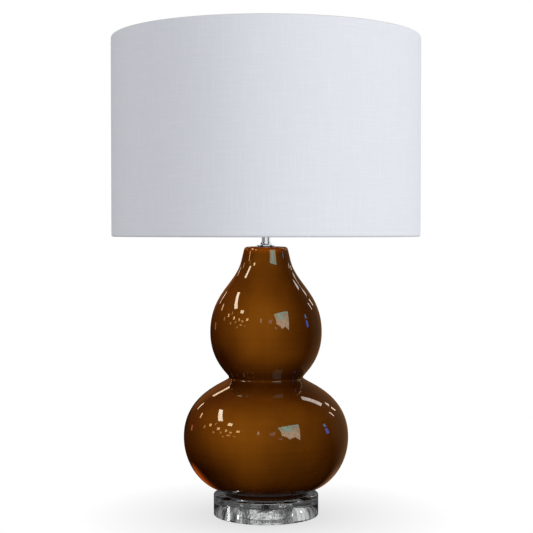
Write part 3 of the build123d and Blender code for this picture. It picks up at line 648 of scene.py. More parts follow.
class LAMP_OT_glaze_gourd(bpy.types.Operator):
    """Turn the double gourd from its stations, bore its inlet and glaze it"""
    bl_idname = "lamp.glaze_gourd"
    bl_label = "Glaze the Gourd"

    wall = 0.005
    passage_radius = 0.0054
    foot_radius, foot_height, foot_width = 0.060, 0.0065, 0.010
    foot_round = 0.0012
    crown_round = 0.0045
    curve_steps = 34
    inlet_radius = 0.0055

    def skin(self, foot):
        """The outer skin from the foot to the neck, as (radius, height) points."""
        turn = Vector((-0.76, 1.0)).normalized()
        neck = Vector((-0.24, 1.0)).normalized()
        turn_at, neck_at = (0.0545, 0.2910), (0.0310, 0.3415)
        runs = (
            ((0.0600, 0.0065), (0.0845, 0.0065), (0.1154, 0.0370), (0.1154, 0.0800)),
            ((0.1154, 0.0800), (0.1154, 0.1425), (0.0520, 0.1555), (0.0520, 0.1630)),
            ((0.0520, 0.1630), (0.0520, 0.1678), (0.0782, 0.1844), (0.0782, 0.2265)),
            ((0.0782, 0.2265), (0.0782, 0.2551), tuple(Vector(turn_at) - turn * 0.0221), turn_at),
            (turn_at, tuple(Vector(turn_at) + turn * 0.0316), tuple(Vector(neck_at) - neck * 0.0227), neck_at),
        )
        points = []
        for run in runs:
            points += bezier(*run, self.curve_steps)
        points.append(neck_at)
        return [(radius, height + foot) for radius, height in points], neck

    def crown(self, start, lean, top):
        """The rounded corner from the neck to the nearly flat top."""
        rise = (top - start[1]) / lean.y
        point = (start[0] + lean.x * rise, top)
        end = (point[0] - self.crown_round, top)
        return bezier(start, tuple(start[i] + (point[i] - start[i]) * 0.67 for i in range(2)),
                      tuple(end[i] + (point[i] - end[i]) * 0.67 for i in range(2)), end, 8)[1:] + [end]

    def execute(self, context):
        settings = context.scene.lamp_gourd
        foot, top = low("gourd_body"), high("gourd_body")
        skin, lean = self.skin(foot)
        lining = inset(skin, self.wall)
        foot_inner, foot_top = self.foot_radius - self.foot_width, foot + self.foot_height
        rounding = self.foot_round
        loop = [(self.passage_radius, foot_top), (foot_inner, foot_top)]
        loop += corner((foot_inner + rounding, foot + rounding), rounding, 180, 270, 4)
        glaze_from = len(loop)
        loop += corner((self.foot_radius - rounding, foot + rounding), rounding, -90, 0, 4)
        loop += [(self.foot_radius, foot + 0.0035)]
        loop += corner((self.foot_radius + 0.0016, foot_top - 0.0016), 0.0016, 180, 110, 3)
        loop += [point for point in skin if point[0] > self.foot_radius + 0.0020 or point[1] > foot + 0.05]
        loop += self.crown(skin[-1], lean, top - 0.0005)
        loop += [(0.0200, top - 0.0002), (0.0130, top), (self.passage_radius, top)]
        glaze_to = len(loop) - 1
        loop += [(self.passage_radius, top - self.wall), (0.0150, top - self.wall)]
        loop += list(reversed(lining))[2:]
        loop += [(self.passage_radius, foot_top + self.wall)]
        mesh = turned("glazed_gourd", loop, settings.steps)
        count = len(loop)
        mesh.materials.append(glaze_finish(settings, foot, top))
        mesh.materials.append(clay_finish(settings))
        for index, face in enumerate(mesh.polygons):
            face.material_index = 0 if glaze_from < index % count < glaze_to else 1
        bored = self.bore(mesh)
        smooth(bored)
        keep_mesh("glazed_gourd", bored, "base", "amber_glaze", "gourd_body")
        return {"FINISHED"}

    def bore(self, mesh):
        """The mesh with the cord's hole cut where the grommet sits."""
        lowest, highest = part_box("cord_grommet")
        middle = (lowest + highest) / 2
        inlet = next(mount for mount in frame["record"]["mounts"] if mount["name"] == "cord_inlet")
        axis = Vector(inlet["axis"])
        tool_mesh = bpy.data.meshes.new("inlet_tool")
        builder = bmesh.new()
        bmesh.ops.create_cone(builder, cap_ends=True, segments=48, radius1=self.inlet_radius,
                              radius2=self.inlet_radius, depth=self.wall * 4)
        builder.to_mesh(tool_mesh)
        builder.free()
        tool = bpy.data.objects.new("inlet_tool", tool_mesh)
        tool.rotation_mode = "QUATERNION"
        tool.rotation_quaternion = axis.to_track_quat("Z", "Y")
        tool.location = middle
        blank = bpy.data.objects.new("gourd_blank", mesh)
        for thing in (tool, blank):
            bpy.context.scene.collection.objects.link(thing)
        cut = blank.modifiers.new("inlet", "BOOLEAN")
        cut.operation, cut.solver, cut.object = "DIFFERENCE", "EXACT", tool
        bpy.context.view_layer.update()
        graph = bpy.context.evaluated_depsgraph_get()
        bored = bpy.data.meshes.new_from_object(blank.evaluated_get(graph), depsgraph=graph)
        bored.name = "glazed_gourd"
        for thing in (tool, blank):
            bpy.data.objects.remove(thing)
        bpy.data.meshes.remove(tool_mesh)
        if len(bored.polygons) < len(mesh.polygons) * 0.9:
            raise RuntimeError("the gourd was lost when its inlet was bored")
        return bored


class LAMP_OT_fit_rubber(bpy.types.Operator):
    """Finish the rubber grommet of the cord inlet and the neck's gasket"""
    bl_idname = "lamp.fit_rubber"
    bl_label = "Fit the Rubber"

    def execute(self, context):
        dress(rubber_finish(), "cord_grommet", "neck_gasket")
        return {"FINISHED"}


class LAMP_OT_chrome_neck(bpy.types.Operator):
    """Finish the chrome cap and tube of the neck, and the finial"""
    bl_idname = "lamp.chrome_neck"
    bl_label = "Chrome the Neck"

    def execute(self, context):
        dress(chrome_finish(), "neck_cap", "neck_tube", "finial_base", "finial_knob")
        return {"FINISHED"}


class LAMP_OT_plate_harp(bpy.types.Operator):
    """Finish the saddle, the harp, its sleeves and its stud"""
    bl_idname = "lamp.plate_harp"
    bl_label = "Plate the Harp"

    def execute(self, context):
        nickel = metal_finish("satin_nickel", (0.66, 0.64, 0.60), 0.28, 700.0, 0.00003)
        dress(nickel, "harp_saddle", "harp_wire", "harp_stud", "harp_sleeve_left", "harp_sleeve_right",
              "holder_cap", "holder_shell")
        return {"FINISHED"}


class LAMP_OT_fit_holder(bpy.types.Operator):
    """Roll the holder's thread and finish its card, its moulding and its brass"""
    bl_idname = "lamp.fit_holder"
    bl_label = "Fit the Lamp Holder"

    def execute(self, context):
        dress(card_finish(), "holder_liner")
        dress(moulding_finish(), "holder_core", "switch_knob", "bulb_insulator")
        brass = brass_finish()
        dress(brass, "terminal_screws", "centre_contact", "switch_shaft", "bulb_button")
        bottom, top = low("thread_shell"), high("thread_shell")
        metal, hole = 0.0004, 0.0060
        mean, swing = reach("thread_shell") - metal - 0.00013, 0.00013
        mesh = rolled_thread("rolled_thread_shell", bottom, top, mean, swing, metal, hole)
        mesh.materials.append(brass)
        keep_mesh("rolled_thread_shell", mesh, "base", "brass", "thread_shell")
        return {"FINISHED"}


class LAMP_OT_make_bulb(bpy.types.Operator):
    """Roll the bulb's screw cap and finish its opal globe"""
    bl_idname = "lamp.make_bulb"
    bl_label = "Make the Light Bulb"

    def execute(self, context):
        bottom, top = low("bulb_screw_cap"), high("bulb_screw_cap")
        metal = 0.0004
        swing = 0.00035
        mean = reach("bulb_screw_cap") - swing - metal
        mesh = rolled_thread("rolled_screw_cap", bottom, top, mean, swing, metal, None)
        mesh.materials.append(metal_finish("bulb_aluminium", (0.78, 0.78, 0.77), 0.25, 800.0, 0.00002))
        keep_mesh("rolled_screw_cap", mesh, "bulb", "bulb_aluminium", "bulb_screw_cap")
        dress(opal_finish(), "bulb_globe")
        return {"FINISHED"}


def rolled_thread(name, bottom, top, mean, swing, metal, hole):
    """A sheet-metal sleeve with a round thread rolled into it, closed below by a floor with a hole."""
    pitch, steps, rows = 0.0036, 72, 56
    lead = 0.0030
    vertices, faces = [], []
    for step in range(steps):
        angle = 2 * math.pi * step / steps
        inner, outer = [], []
        for row in range(rows + 1):
            height = bottom + (top - bottom) * row / rows
            fade = min(1.0, (height - bottom) / lead, (top - height) / lead)
            turn = 2 * math.pi * (height - bottom) / pitch - angle
            radius = mean + swing * math.cos(turn) * max(0.0, fade)
            inner.append((radius, height))
            outer.append((radius + metal, height))
        if hole:
            outer = [(hole, bottom)] + outer
            inner = [(hole, bottom + metal), (mean, bottom + metal)] + inner[2:]
        ring = outer + inner[::-1]
        for radius, height in ring:
            vertices.append((radius * math.sin(angle), -radius * math.cos(angle), height))
    count = len(ring)
    for step in range(steps):
        this, following = step * count, (step + 1) % steps * count
        for index in range(count):
            after = (index + 1) % count
            faces.append((this + index, following + index, following + after, this + after))
    mesh = bpy.data.meshes.new(name)
    mesh.from_pydata(vertices, [], faces)
    mesh.validate()
    smooth(mesh, 50.0)
    return mesh


class LAMP_OT_coat_frame(bpy.types.Operator):
    """Finish the shade's rings, hub and arms, and its lining sheet"""
    bl_idname = "lamp.coat_frame"
    bl_label = "Coat the Shade Frame"

    def execute(self, context):
        dress(powder_finish(), "shade_lower_ring", "shade_upper_ring", "spider_hub", "spider_arms")
        dress(styrene_finish(), "shade_stiffener")
        return {"FINISHED"}


class LAMP_OT_stretch_linen(bpy.types.Operator):
    """Stretch the linen round the frame: hems over both rings and a lap seam at the back"""
    bl_idname = "lamp.stretch_linen"
    bl_label = "Stretch the Linen"

    cloth = 0.0007
    lining = 0.0008
    wire = 0.0015
    hem_rise, hem_height, hem_lap = 0.0025, 0.0090, 0.0030
    rows = 96
    flat_hem = 0.0150

    def hem(self, radius, level, side):
        """The section of one hem, from the outer face round the ring to the end of its lap."""
        ring = radius - self.cloth - self.lining - self.wire
        outer = radius - ring
        lap = radius - self.cloth - self.lining
        arc = [(ring + outer * math.cos(a), level - side * outer * math.sin(a))
               for a in (math.pi * index / 12 for index in range(13))]
        arc_back = [(ring + (outer - self.cloth) * math.cos(a), level - side * (outer - self.cloth) * math.sin(a))
                    for a in (math.pi * index / 12 for index in range(12, -1, -1))]
        inside = [(ring - outer, level + side * self.hem_rise), (lap - self.cloth, level + side * self.hem_height),
                  (lap - self.cloth, level + side * (self.hem_height + self.hem_lap)),
                  (lap, level + side * (self.hem_height + self.hem_lap)), (lap, level + side * self.hem_height),
                  (ring - outer + self.cloth, level + side * self.hem_rise)]
        return arc, inside, arc_back

    def execute(self, context):
        settings = context.scene.lamp_shade
        radius, bottom, top = reach("shade_linen"), low("shade_linen"), high("shade_linen")
        ring_inset = self.cloth + self.lining + self.wire
        lower, upper = bottom + ring_inset, top - ring_inset
        arc, inside, arc_back = self.hem(radius, lower, 1)
        arc_up, inside_up, arc_up_back = self.hem(radius, upper, -1)
        face = [(radius, lower + (upper - lower) * index / self.rows) for index in range(1, self.rows)]
        back = [(radius - self.cloth, upper - (upper - lower) * index / 24) for index in range(1, 24)]
        loop = arc[::-1] + face + arc_up + inside_up + arc_up_back + back + arc_back[::-1] + inside[::-1]
        random.seed(SEED)
        waves = [(random.randint(3, 11), random.uniform(0, 2 * math.pi), random.uniform(6, 22),
                  random.uniform(0, 2 * math.pi)) for _ in range(6)]
        half_seam = settings.seam_width / 2 / radius
        hem_line = settings.hem_line

        def settle(point, angle):
            """Slack of a tenth of a millimetre, the hem's line, and the lap at the back."""
            distance = math.hypot(point.x, point.y)
            if distance < radius - self.cloth * 0.5:
                return point
            slack = sum(math.sin(n * angle + p) * math.sin(k * point.z + q) for n, p, k, q in waves)
            from_edge = min(point.z - bottom, top - point.z)
            middle = max(0.0, min(1.0, (from_edge - 0.004) / 0.03))
            move = -0.00010 - 0.00004 * slack * middle
            line = math.exp(-((from_edge - hem_line) / 0.0007) ** 2)
            move -= 0.00022 * line
            off_back = abs(angle - math.pi)
            if from_edge > 0.0015:
                move += 0.00075 * max(0.0, min(1.0, (half_seam - off_back) / 0.0012 + 1.0))
            factor = (distance + move) / distance
            return Vector((point.x * factor, point.y * factor, point.z))

        mesh = turned("linen_cover", loop, settings.steps, settle)
        smooth(mesh, 60.0)
        mesh.materials.append(linen_finish(settings, radius, bottom, top))
        cover = keep_mesh("linen_cover", mesh, "shade", "white_linen", "shade_linen")
        return {"FINISHED"}


# ---- stage ----
def glow(name, rgb, strength):
    """A glowing surface that lets through what it doesn't light itself; returns its nodes too."""
    material = bpy.data.materials.new(name)
    material.use_nodes = True
    material.cycles.emission_sampling = "NONE"
    tree = material.node_tree
    tree.nodes.clear()
    output, both = tree.nodes.new("ShaderNodeOutputMaterial"), tree.nodes.new("ShaderNodeAddShader")
    shine, clear = tree.nodes.new("ShaderNodeEmission"), tree.nodes.new("ShaderNodeBsdfTransparent")
    shine.inputs["Color"].default_value = (*rgb, 1.0)
    shine.inputs["Strength"].default_value = strength
    tree.links.new(shine.outputs["Emission"], both.inputs[0])
    tree.links.new(clear.outputs["BSDF"], both.inputs[1])
    tree.links.new(both.outputs["Shader"], output.inputs["Surface"])
    return material, tree, shine, both, output


def patchy(tree, shine, scale, squeeze, low_in, high_in, low_out, high_out):
    """Gives a glow's strength soft patches, squeezed along each axis."""
    add, link = tree.nodes.new, tree.links.new
    place, stretch, patches = add("ShaderNodeTexCoord"), add("ShaderNodeMapping"), add("ShaderNodeTexNoise")
    stretch.inputs["Scale"].default_value = squeeze
    patches.inputs["Scale"].default_value = scale
    patches.inputs["Detail"].default_value = 2.0
    spread = add("ShaderNodeMapRange")
    for socket, value in zip(spread.inputs[1:5], (low_in, high_in, low_out, high_out)):
        socket.default_value = value
    link(place.outputs["Object"], stretch.inputs["Vector"])
    link(stretch.outputs["Vector"], patches.inputs["Vector"])
    link(patches.outputs["Fac"], spread.inputs["Value"])
    link(spread.outputs["Result"], shine.inputs["Strength"])
    return patches


def two_tone(tree, shine, patches, lower, upper, middle):
    """Gives a glow one colour low down and another above a ragged line at the middle height."""
    add, link = tree.nodes.new, tree.links.new
    tones, steps, place, apart = add("ShaderNodeMix"), add("ShaderNodeMapRange"), add("ShaderNodeTexCoord"), add("ShaderNodeSeparateXYZ")
    ragged, total = add("ShaderNodeMath"), add("ShaderNodeMath")
    tones.data_type = "RGBA"
    tones.inputs[6].default_value, tones.inputs[7].default_value = (*lower, 1.0), (*upper, 1.0)
    steps.inputs[1].default_value, steps.inputs[2].default_value = middle - 0.08, middle + 0.08
    ragged.operation = "MULTIPLY_ADD"
    ragged.inputs[1].default_value, ragged.inputs[2].default_value = 3.0, -1.5
    link(place.outputs["Object"], apart.inputs["Vector"])
    link(patches.outputs["Fac"], ragged.inputs[0])
    link(apart.outputs["Z"], total.inputs[0])
    link(ragged.outputs["Value"], total.inputs[1])
    link(total.outputs["Value"], steps.inputs["Value"])
    link(steps.outputs["Result"], tones.inputs["Factor"])
    link(tones.outputs[2], shine.inputs["Color"])


def seen_by(thing, group):
    """The card is seen only in what the group's pieces mirror or let through."""
    thing.visible_camera = thing.visible_diffuse = thing.visible_shadow = False
    thing.light_linking.receiver_collection = group


def direction(azimuth, elevation):
    """Out from the lamp: azimuth 0 is towards the camera and grows to the viewer's right."""
    a, e = math.radians(azimuth), math.radians(elevation)
    return Vector((math.sin(a) * math.cos(e), -math.cos(a) * math.cos(e), math.sin(e)))


def stage_object(name, vertices, faces, material):
    mesh = bpy.data.meshes.new(name)
    mesh.from_pydata(vertices, [], faces)
    mesh.materials.append(material)
    thing = bpy.data.objects.new(name, mesh)
    bpy.context.scene.collection.objects.link(thing)
    return thing


def spun(section, steps):
    """Vertices and faces of an open section turned about the axis."""
    vertices, faces, count = [], [], len(section)
    for step in range(steps):
        angle = 2 * math.pi * step / steps
        vertices += [(r * math.cos(angle), r * math.sin(angle), z) for r, z in section]
        this, following = step * count, (step + 1) % steps * count
        faces += [(this + i, following + i, following + i + 1, this + i + 1) for i in range(count - 1)]
    return vertices, faces


class LAMP_OT_set_stage(bpy.types.Operator):
    """Lay the pale floor and set the sky, the soft lights and what gloss, glass and metal reflect"""
    bl_idname = "lamp.set_stage"
    bl_label = "Set the Stage"

    centre = Vector((0.0, 0.0, 0.20))
    distance = 4.0
    shade_pieces = ("linen_cover", "shade_stiffener", "shade_lower_ring", "shade_upper_ring", "spider_hub",
                    "spider_arms")
    clear_pieces = ("polished_disc", "bumper_pads", "foot_gasket")
    glazed_pieces = ("glazed_gourd",)
    # name, colour, strength, corners as (azimuth, elevation) in order
    glaze_cards = (
        ("left_tube", (1.0, 0.86, 0.64), 15.0, ((-105, 44), (-98, 47), (-73, 33.5), (-81, 30.5))),
        ("left_square", (1.0, 0.80, 0.46), 16.0, ((-62, 34), (-54, 34), (-54, 28.5), (-61, 28.5))),
        ("left_spot_1", (1.0, 0.58, 0.24), 10.0, ((-92, 21), (-88, 22), (-87, 18), (-91, 17))),
        ("left_spot_2", (1.0, 0.62, 0.28), 12.0, ((-75, 20), (-71, 21), (-70, 17), (-74, 16))),
        ("left_spot_3", (1.0, 0.62, 0.28), 10.0, ((-61, 20), (-58, 21), (-57, 17), (-60, 16))),
        ("left_spot_4", (1.0, 0.56, 0.22), 8.0, ((-53, 18), (-49, 18), (-49, 15), (-53, 15))),
        ("left_spot_5", (1.0, 0.58, 0.24), 12.0, ((-43, 22), (-38, 23), (-38, 19), (-43, 18))),
        ("left_spot_6", (1.0, 0.54, 0.20), 6.0, ((-56, 12), (-51, 12), (-51, 9.5), (-56, 9.5))),
        ("left_spot_7", (1.0, 0.54, 0.20), 5.0, ((-68, 15), (-65, 15), (-65, 12), (-68, 12))),
        ("left_spot_8", (1.0, 0.54, 0.20), 4.0, ((-46, 11), (-43, 11), (-43, 9), (-46, 9))),
        ("left_spot_9", (1.0, 0.56, 0.24), 5.0, ((-83, 26), (-81, 27), (-80, 23), (-82, 22))),
        ("left_spot_10", (1.0, 0.54, 0.20), 4.0, ((-80, 12), (-77, 12), (-77, 9), (-80, 9))),
        ("left_spot_11", (1.0, 0.54, 0.20), 3.0, ((-63, 8), (-60, 8), (-60, 5.5), (-63, 5.5))),
        ("left_spot_12", (1.0, 0.56, 0.22), 3.5, ((-100, 15), (-97, 15), (-97, 11), (-100, 11))),
        ("front_spot", (0.80, 0.86, 0.80), 4.0, ((-12, 24), (-9.5, 24), (-9.5, 17), (-12, 17))),
        ("window_ear", (0.66, 0.66, 0.80), 1.6, ((5, 20), (14, 23), (12, 15), (6, 16))),
        ("window_crumb", (0.60, 0.62, 0.80), 1.6, ((17, 10), (23, 9), (22, 6), (18, 7))),
        ("right_blue", (0.02, 0.22, 1.0), 5.0, ((91, 12), (97, 12), (98, 4), (93, 4))),
        ("right_blue_top", (0.06, 0.50, 1.0), 4.0, ((92, 19), (97, 19), (97, 14), (92, 15))),
        ("right_tube", (1.0, 0.90, 0.80), 5.0, ((127, 54), (137, 52), (133, 32), (124, 35))),
        ("right_bar", (1.0, 0.84, 0.68), 4.5, ((136, 27), (140, 27), (140.5, 22.5), (136.5, 22.5))),
        ("right_spot_1", (1.0, 0.78, 0.60), 6.0, ((136, 20), (139, 20), (141, 14), (139, 14))),
        ("right_spot_2", (1.0, 0.84, 0.70), 6.0, ((122, 24), (125, 23), (127, 16), (125, 16))),
        ("back_tube_left", (1.0, 0.74, 0.46), 6.0, ((-160, 37), (-157, 39), (-146, 31), (-149, 27))),
        ("back_spot_left", (1.0, 0.76, 0.52), 6.0, ((-144, 22), (-141, 22), (-140, 15), (-142, 15))),
        ("left_spot_low", (1.0, 0.66, 0.30), 7.0, ((-124, 23), (-120, 23), (-117, 18), (-120, 17))),
        ("left_ember", (1.0, 0.30, 0.16), 2.2, ((-130, 4), (-126, 4), (-125, -1), (-129, -1))),
        ("overhead_warm", (1.0, 0.56, 0.22), 2.0, ((-150, 58), (-138, 58), (-140, 54), (-149, 54))),
        ("overhead_blue", (0.5, 0.55, 1.0), 1.2, ((150, 71), (165, 72), (162, 66), (152, 66))),
    )
    # the strip on the table: along azimuth -88 from the wall's point at azimuth -44
    strip = ((-0.0500, -0.0545), (-0.0530, -0.0505), (-0.1930, -0.0430), (-0.1930, -0.0670))
    window = ((18, 31.5), (52, 33.5), (47, 3.5), (40, 10), (33, 6), (27, 12), (22, 14), (21, 23))
    glass_cards = (
        ("glass_window", (1.0, 1.0, 1.0), 0.35, ((196, 24), (222, 24), (222, 2), (196, 2))),
        ("glass_lamp", (1.0, 1.0, 1.0), 2.2, ((174, 26), (177, 26), (177, 12), (174, 12))),
        ("glass_front", (1.0, 1.0, 1.0), 3.0, ((-60, 65), (60, 65), (60, 45), (-60, 45))),
        ("glass_overhead", (1.0, 1.0, 1.0), 4.0, ((-45, 62), (45, 62), (135, 70), (-135, 70))),
        ("glass_spot_1", (1.0, 1.0, 1.0), 1.6, ((158, 11), (159.5, 11), (159.5, 7), (158, 7))),
        ("glass_spot_2", (1.0, 1.0, 1.0), 1.6, ((-170, 6), (-168, 6), (-168, 0), (-170, 0))),
        ("glass_spot_3", (1.0, 1.0, 1.0), 1.8, ((-150, 18), (-148, 18), (-148, 14), (-150, 14))),
    )

    # azimuth and half width of the dark bands that metal mirrors, in degrees
    metal_bands = ((-58, 26), (-130, 34), (64, 20))
    # colour, azimuth and elevation, narrowness and level of the soft sides that the glaze mirrors
    warm_sides = (
        ((1.0, 0.50, 0.22), (142, 9), 0.66, 0.25),
        ((1.0, 0.22, 0.05), (-138, 38), 0.70, 0.22),
        ((1.0, 0.38, 0.10), (-164, 22), 0.93, 0.26),
    )

    def card(self, name, rgb, strength, corners, group):
        points = [self.centre + direction(*corner) * self.distance for corner in corners]
        middle = sum(points, Vector()) / len(points)
        material, tree, shine, both, output = glow(name, rgb, strength)
        patches = patchy(tree, shine, 9.0, (1, 1, 1), 0.35, 0.65, strength * 0.75, strength * 1.25)
        faces = [(0, i + 1, (i + 1) % len(points) + 1) for i in range(len(points))]
        seen_by(stage_object("card_" + name, [middle] + points, faces, material), group)
        return tree, shine, patches

    def room(self, name, reach, group, rgb, strength):
        """A shell round everything, floor to ceiling, that only one group sees."""
        lift, top = 0.0011 - 0.0001 * reach, reach - 1.6
        section = [(0.001, lift), (0.3, lift), (1.2, lift), (reach, lift), (reach, 1.2), (reach, top), (0.001, top)]
        material, tree, shine, both, output = glow(name, rgb, strength)
        thing = stage_object(name, *spun(section, 48), material)
        seen_by(thing, group)
        return material, tree, shine, both, output

    def glow_on_table(self, name, rgb, strength, first, last, width, group):
        """A soft oval of light on the table between two points, with its fade out to the edge."""
        first, last = Vector((*first, 0.0)), Vector((*last, 0.0))
        vertices, faces = spun([(0.01, 0.0), (0.5, 0.0), (1.0, 0.0)], 36)
        material, tree, shine, both, output = glow(name, rgb, strength)
        thing = stage_object("card_" + name, vertices, faces, material)
        thing.location = (first + last) / 2 + Vector((0.0, 0.0, 0.0011))
        thing.rotation_euler = (0.0, 0.0, math.atan2(last.y - first.y, last.x - first.x))
        thing.scale = ((last - first).length / 2, width / 2, 1.0)
        add, link = tree.nodes.new, tree.links.new
        place, distance, fade = add("ShaderNodeTexCoord"), add("ShaderNodeVectorMath"), add("ShaderNodeMapRange")
        distance.operation, fade.interpolation_type = "LENGTH", "SMOOTHSTEP"
        for socket, value in zip(fade.inputs[1:5], (0.1, 1.0, strength, 0.0)):
            socket.default_value = value
        link(place.outputs["Object"], distance.inputs[0])
        link(distance.outputs["Value"], fade.inputs["Value"])
        link(fade.outputs["Result"], shine.inputs["Strength"])
        seen_by(thing, group)

    def strip_on_table(self, name, strength, corners, group):
        """A bright strip on the table beside the disc, which its wall mirrors as an upright line."""
        material, tree, shine, both, output = glow(name, (1.0, 1.0, 1.0), strength)
        points = [(x, y, 0.0012) for x, y in corners]
        thing = stage_object("card_" + name, points, [(0, 1, 2, 3)], material)
        seen_by(thing, group)
        thing.visible_transmission = False

    def metal_table(self, level, group):
        """The table under the disc as the clamp's metal mirrors it."""
        material, tree, shine, both, output = glow("metal_table", (1.0, 1.0, 1.0), level)
        section = [(0.001, 0.0008), (0.04, 0.0008), (0.08, 0.0008)]
        seen_by(stage_object("metal_table", *spun(section, 48), material), group)

    def glass_table(self, level, group):
        """The table as the disc shows it: a glitter under the recess, dark seen through the gasket."""
        material, tree, shine, both, output = glow("glass_table", (1.0, 1.0, 1.0), level)
        thing = stage_object("glass_table", *spun([(0.001, 0.0010), (0.2, 0.0010), (3.0, 0.0010)], 48), material)
        add, link = tree.nodes.new, tree.links.new
        patchy(tree, shine, 210.0, (1, 1, 1), 0.40, 0.62, level * 0.32, level * 2.0)
        place, distance, fade = add("ShaderNodeTexCoord"), add("ShaderNodeVectorMath"), add("ShaderNodeMapRange")
        rays, shallow, product, gated = (add("ShaderNodeLightPath"), add("ShaderNodeMath"), add("ShaderNodeMath"),
                                      add("ShaderNodeMath"))
        distance.operation, shallow.operation = "LENGTH", "LESS_THAN"
        product.operation = gated.operation = "MULTIPLY"
        shallow.inputs[1].default_value = 3.5
        for socket, value in zip(fade.inputs[1:5], (0.026, 0.032, 1.0, 0.12)):
            socket.default_value = value
        before = shine.inputs["Strength"].links[0].from_socket
        link(place.outputs["Object"], distance.inputs[0])
        link(distance.outputs["Value"], fade.inputs["Value"])
        link(rays.outputs["Transmission Depth"], shallow.inputs[0])
        link(before, product.inputs[0])
        link(fade.outputs["Result"], product.inputs[1])
        link(product.outputs["Value"], gated.inputs[0])
        link(shallow.outputs["Value"], gated.inputs[1])
        link(gated.outputs["Value"], shine.inputs["Strength"])
        seen_by(thing, group)

    def floor(self, rgb):
        """A plain disc of floor that fades into the white behind it and keeps the lamp's shadow."""
        vertices, faces = spun([(r, 0.0) for r in (0.001, 0.1, 0.4, 1.0, 2.0, 6.0, 30.0)], 96)
        material = bpy.data.materials.new("pale_floor")
        stage_object("floor", vertices, [face[::-1] for face in faces], material)
        material.use_nodes = True
        tree = material.node_tree
        tree.nodes.clear()
        add, link = tree.nodes.new, tree.links.new
        output, cover = add("ShaderNodeOutputMaterial"), add("ShaderNodeMixShader")
        plain, shown = add("ShaderNodeBsdfDiffuse"), add("ShaderNodeEmission")
        plain.inputs["Color"].default_value = (*rgb, 1.0)
        shown.inputs["Strength"].default_value = 1.0
        rays, place = add("ShaderNodeLightPath"), add("ShaderNodeTexCoord")
        length_node, fade = add("ShaderNodeVectorMath"), add("ShaderNodeMapRange")
        length_node.operation = "LENGTH"
        for socket, value in zip(fade.inputs[1:5], (0.07, 0.26, 0.7, 1.0)):
            socket.default_value = value
        link(place.outputs["Object"], length_node.inputs[0])
        link(length_node.outputs["Value"], fade.inputs["Value"])
        seen = white_rays(tree, rays)
        factor = add("ShaderNodeMath")
        factor.operation = "MULTIPLY"
        link(seen, factor.inputs[0])
        link(fade.outputs["Result"], factor.inputs[1])
        link(factor.outputs["Value"], cover.inputs["Fac"])
        link(plain.outputs["BSDF"], cover.inputs[1])
        link(shown.outputs["Emission"], cover.inputs[2])
        link(cover.outputs["Shader"], output.inputs["Surface"])

    def sky(self, level):
        """White for what the camera sees, straight, mirrored or through glass; plain light otherwise."""
        world = bpy.data.worlds.new("studio")
        bpy.context.scene.world = world
        world.use_nodes = True
        tree = world.node_tree
        tree.nodes.clear()
        add, link = tree.nodes.new, tree.links.new
        output, cover = add("ShaderNodeOutputWorld"), add("ShaderNodeMixShader")
        light, white = add("ShaderNodeBackground"), add("ShaderNodeBackground")
        light.inputs["Color"].default_value = (0.975, 0.985, 1.0, 1.0)
        light.inputs["Strength"].default_value = level
        white.inputs["Color"].default_value = (1.0, 1.0, 1.0, 1.0)
        white.inputs["Strength"].default_value = 1.0
        link(white_rays(tree, add("ShaderNodeLightPath")), cover.inputs["Fac"])
        link(light.outputs["Background"], cover.inputs[1])
        link(white.outputs["Background"], cover.inputs[2])
        link(cover.outputs["Shader"], output.inputs["Surface"])

    def light(self, name, watts, size, away, aim, middle, group):
        """A soft rectangular light for one group of pieces, shaded only by that group."""
        data = bpy.data.lights.new(name, "AREA")
        data.energy, data.shape = watts, "RECTANGLE"
        data.size, data.size_y = size
        lamp = bpy.data.objects.new(name, data)
        bpy.context.scene.collection.objects.link(lamp)
        lamp.location = Vector((0.0, 0.0, middle)) + direction(*aim) * away
        lamp.rotation_mode = "QUATERNION"
        lamp.rotation_quaternion = direction(*aim).to_track_quat("Z", "Y")
        lamp.visible_camera = lamp.visible_glossy = lamp.visible_transmission = False
        lamp.light_linking.receiver_collection = group
        lamp.light_linking.blocker_collection = group

    def group(self, name, pieces):
        group = bpy.data.collections.new(name)
        for piece in pieces:
            group.objects.link(piece)
        return group

    def execute(self, context):
        settings = context.scene.lamp_stage
        dressed = {name: bpy.data.objects[name] for name in
                   self.shade_pieces + self.clear_pieces + self.glazed_pieces}
        everything = [thing for thing in bpy.data.objects if thing.type == "MESH"]
        shade = self.group("shade_pieces", [dressed[name] for name in self.shade_pieces])
        clear = self.group("clear_pieces", [dressed[name] for name in self.clear_pieces])
        glazed = self.group("glazed_pieces", [dressed[name] for name in self.glazed_pieces])
        base = self.group("base_pieces", [t for t in everything if t.name not in self.shade_pieces])
        every = self.group("every_piece", everything)
        others = self.group("metal_pieces", [t for t in everything
                                             if t.name not in self.clear_pieces + self.glazed_pieces])
        for name in self.shade_pieces:
            dressed[name].visible_glossy = False
        self.floor(settings.floor)
        self.sky(settings.sky)
        self.light("shade_key", settings.shade_key, (3.0, 3.0), 5.0, (58, 8), 0.5, shade)
        self.light("shade_fill", settings.shade_fill, (3.6, 3.6), 5.0, (-43, 8), 0.5, shade)
        self.light("base_key", settings.base_key, (0.10, 0.34), 0.40, (-9, 20), 0.155, base)
        self.light("back_light", settings.back, (1.5, 1.5), 2.2, (180, 15), 0.4, every)
        self.rooms(settings, glazed, clear, others)
        for card in self.glaze_cards:
            self.card(*card, glazed)
        for card in self.glass_cards:
            self.card(*card, clear)
        tree, shine, patches = self.card("window", (0.80, 0.84, 0.76), 5.6, self.window, glazed)
        patches.inputs["Scale"].default_value = 2.6
        two_tone(tree, shine, patches, (0.92, 0.80, 0.60), (0.32, 0.80, 0.70), 1.72)
        self.glow_on_table("left_ember_low", (1.0, 0.17, 0.01), 0.95, (-0.085, -0.012), (-0.205, 0.190), 0.140, glazed)
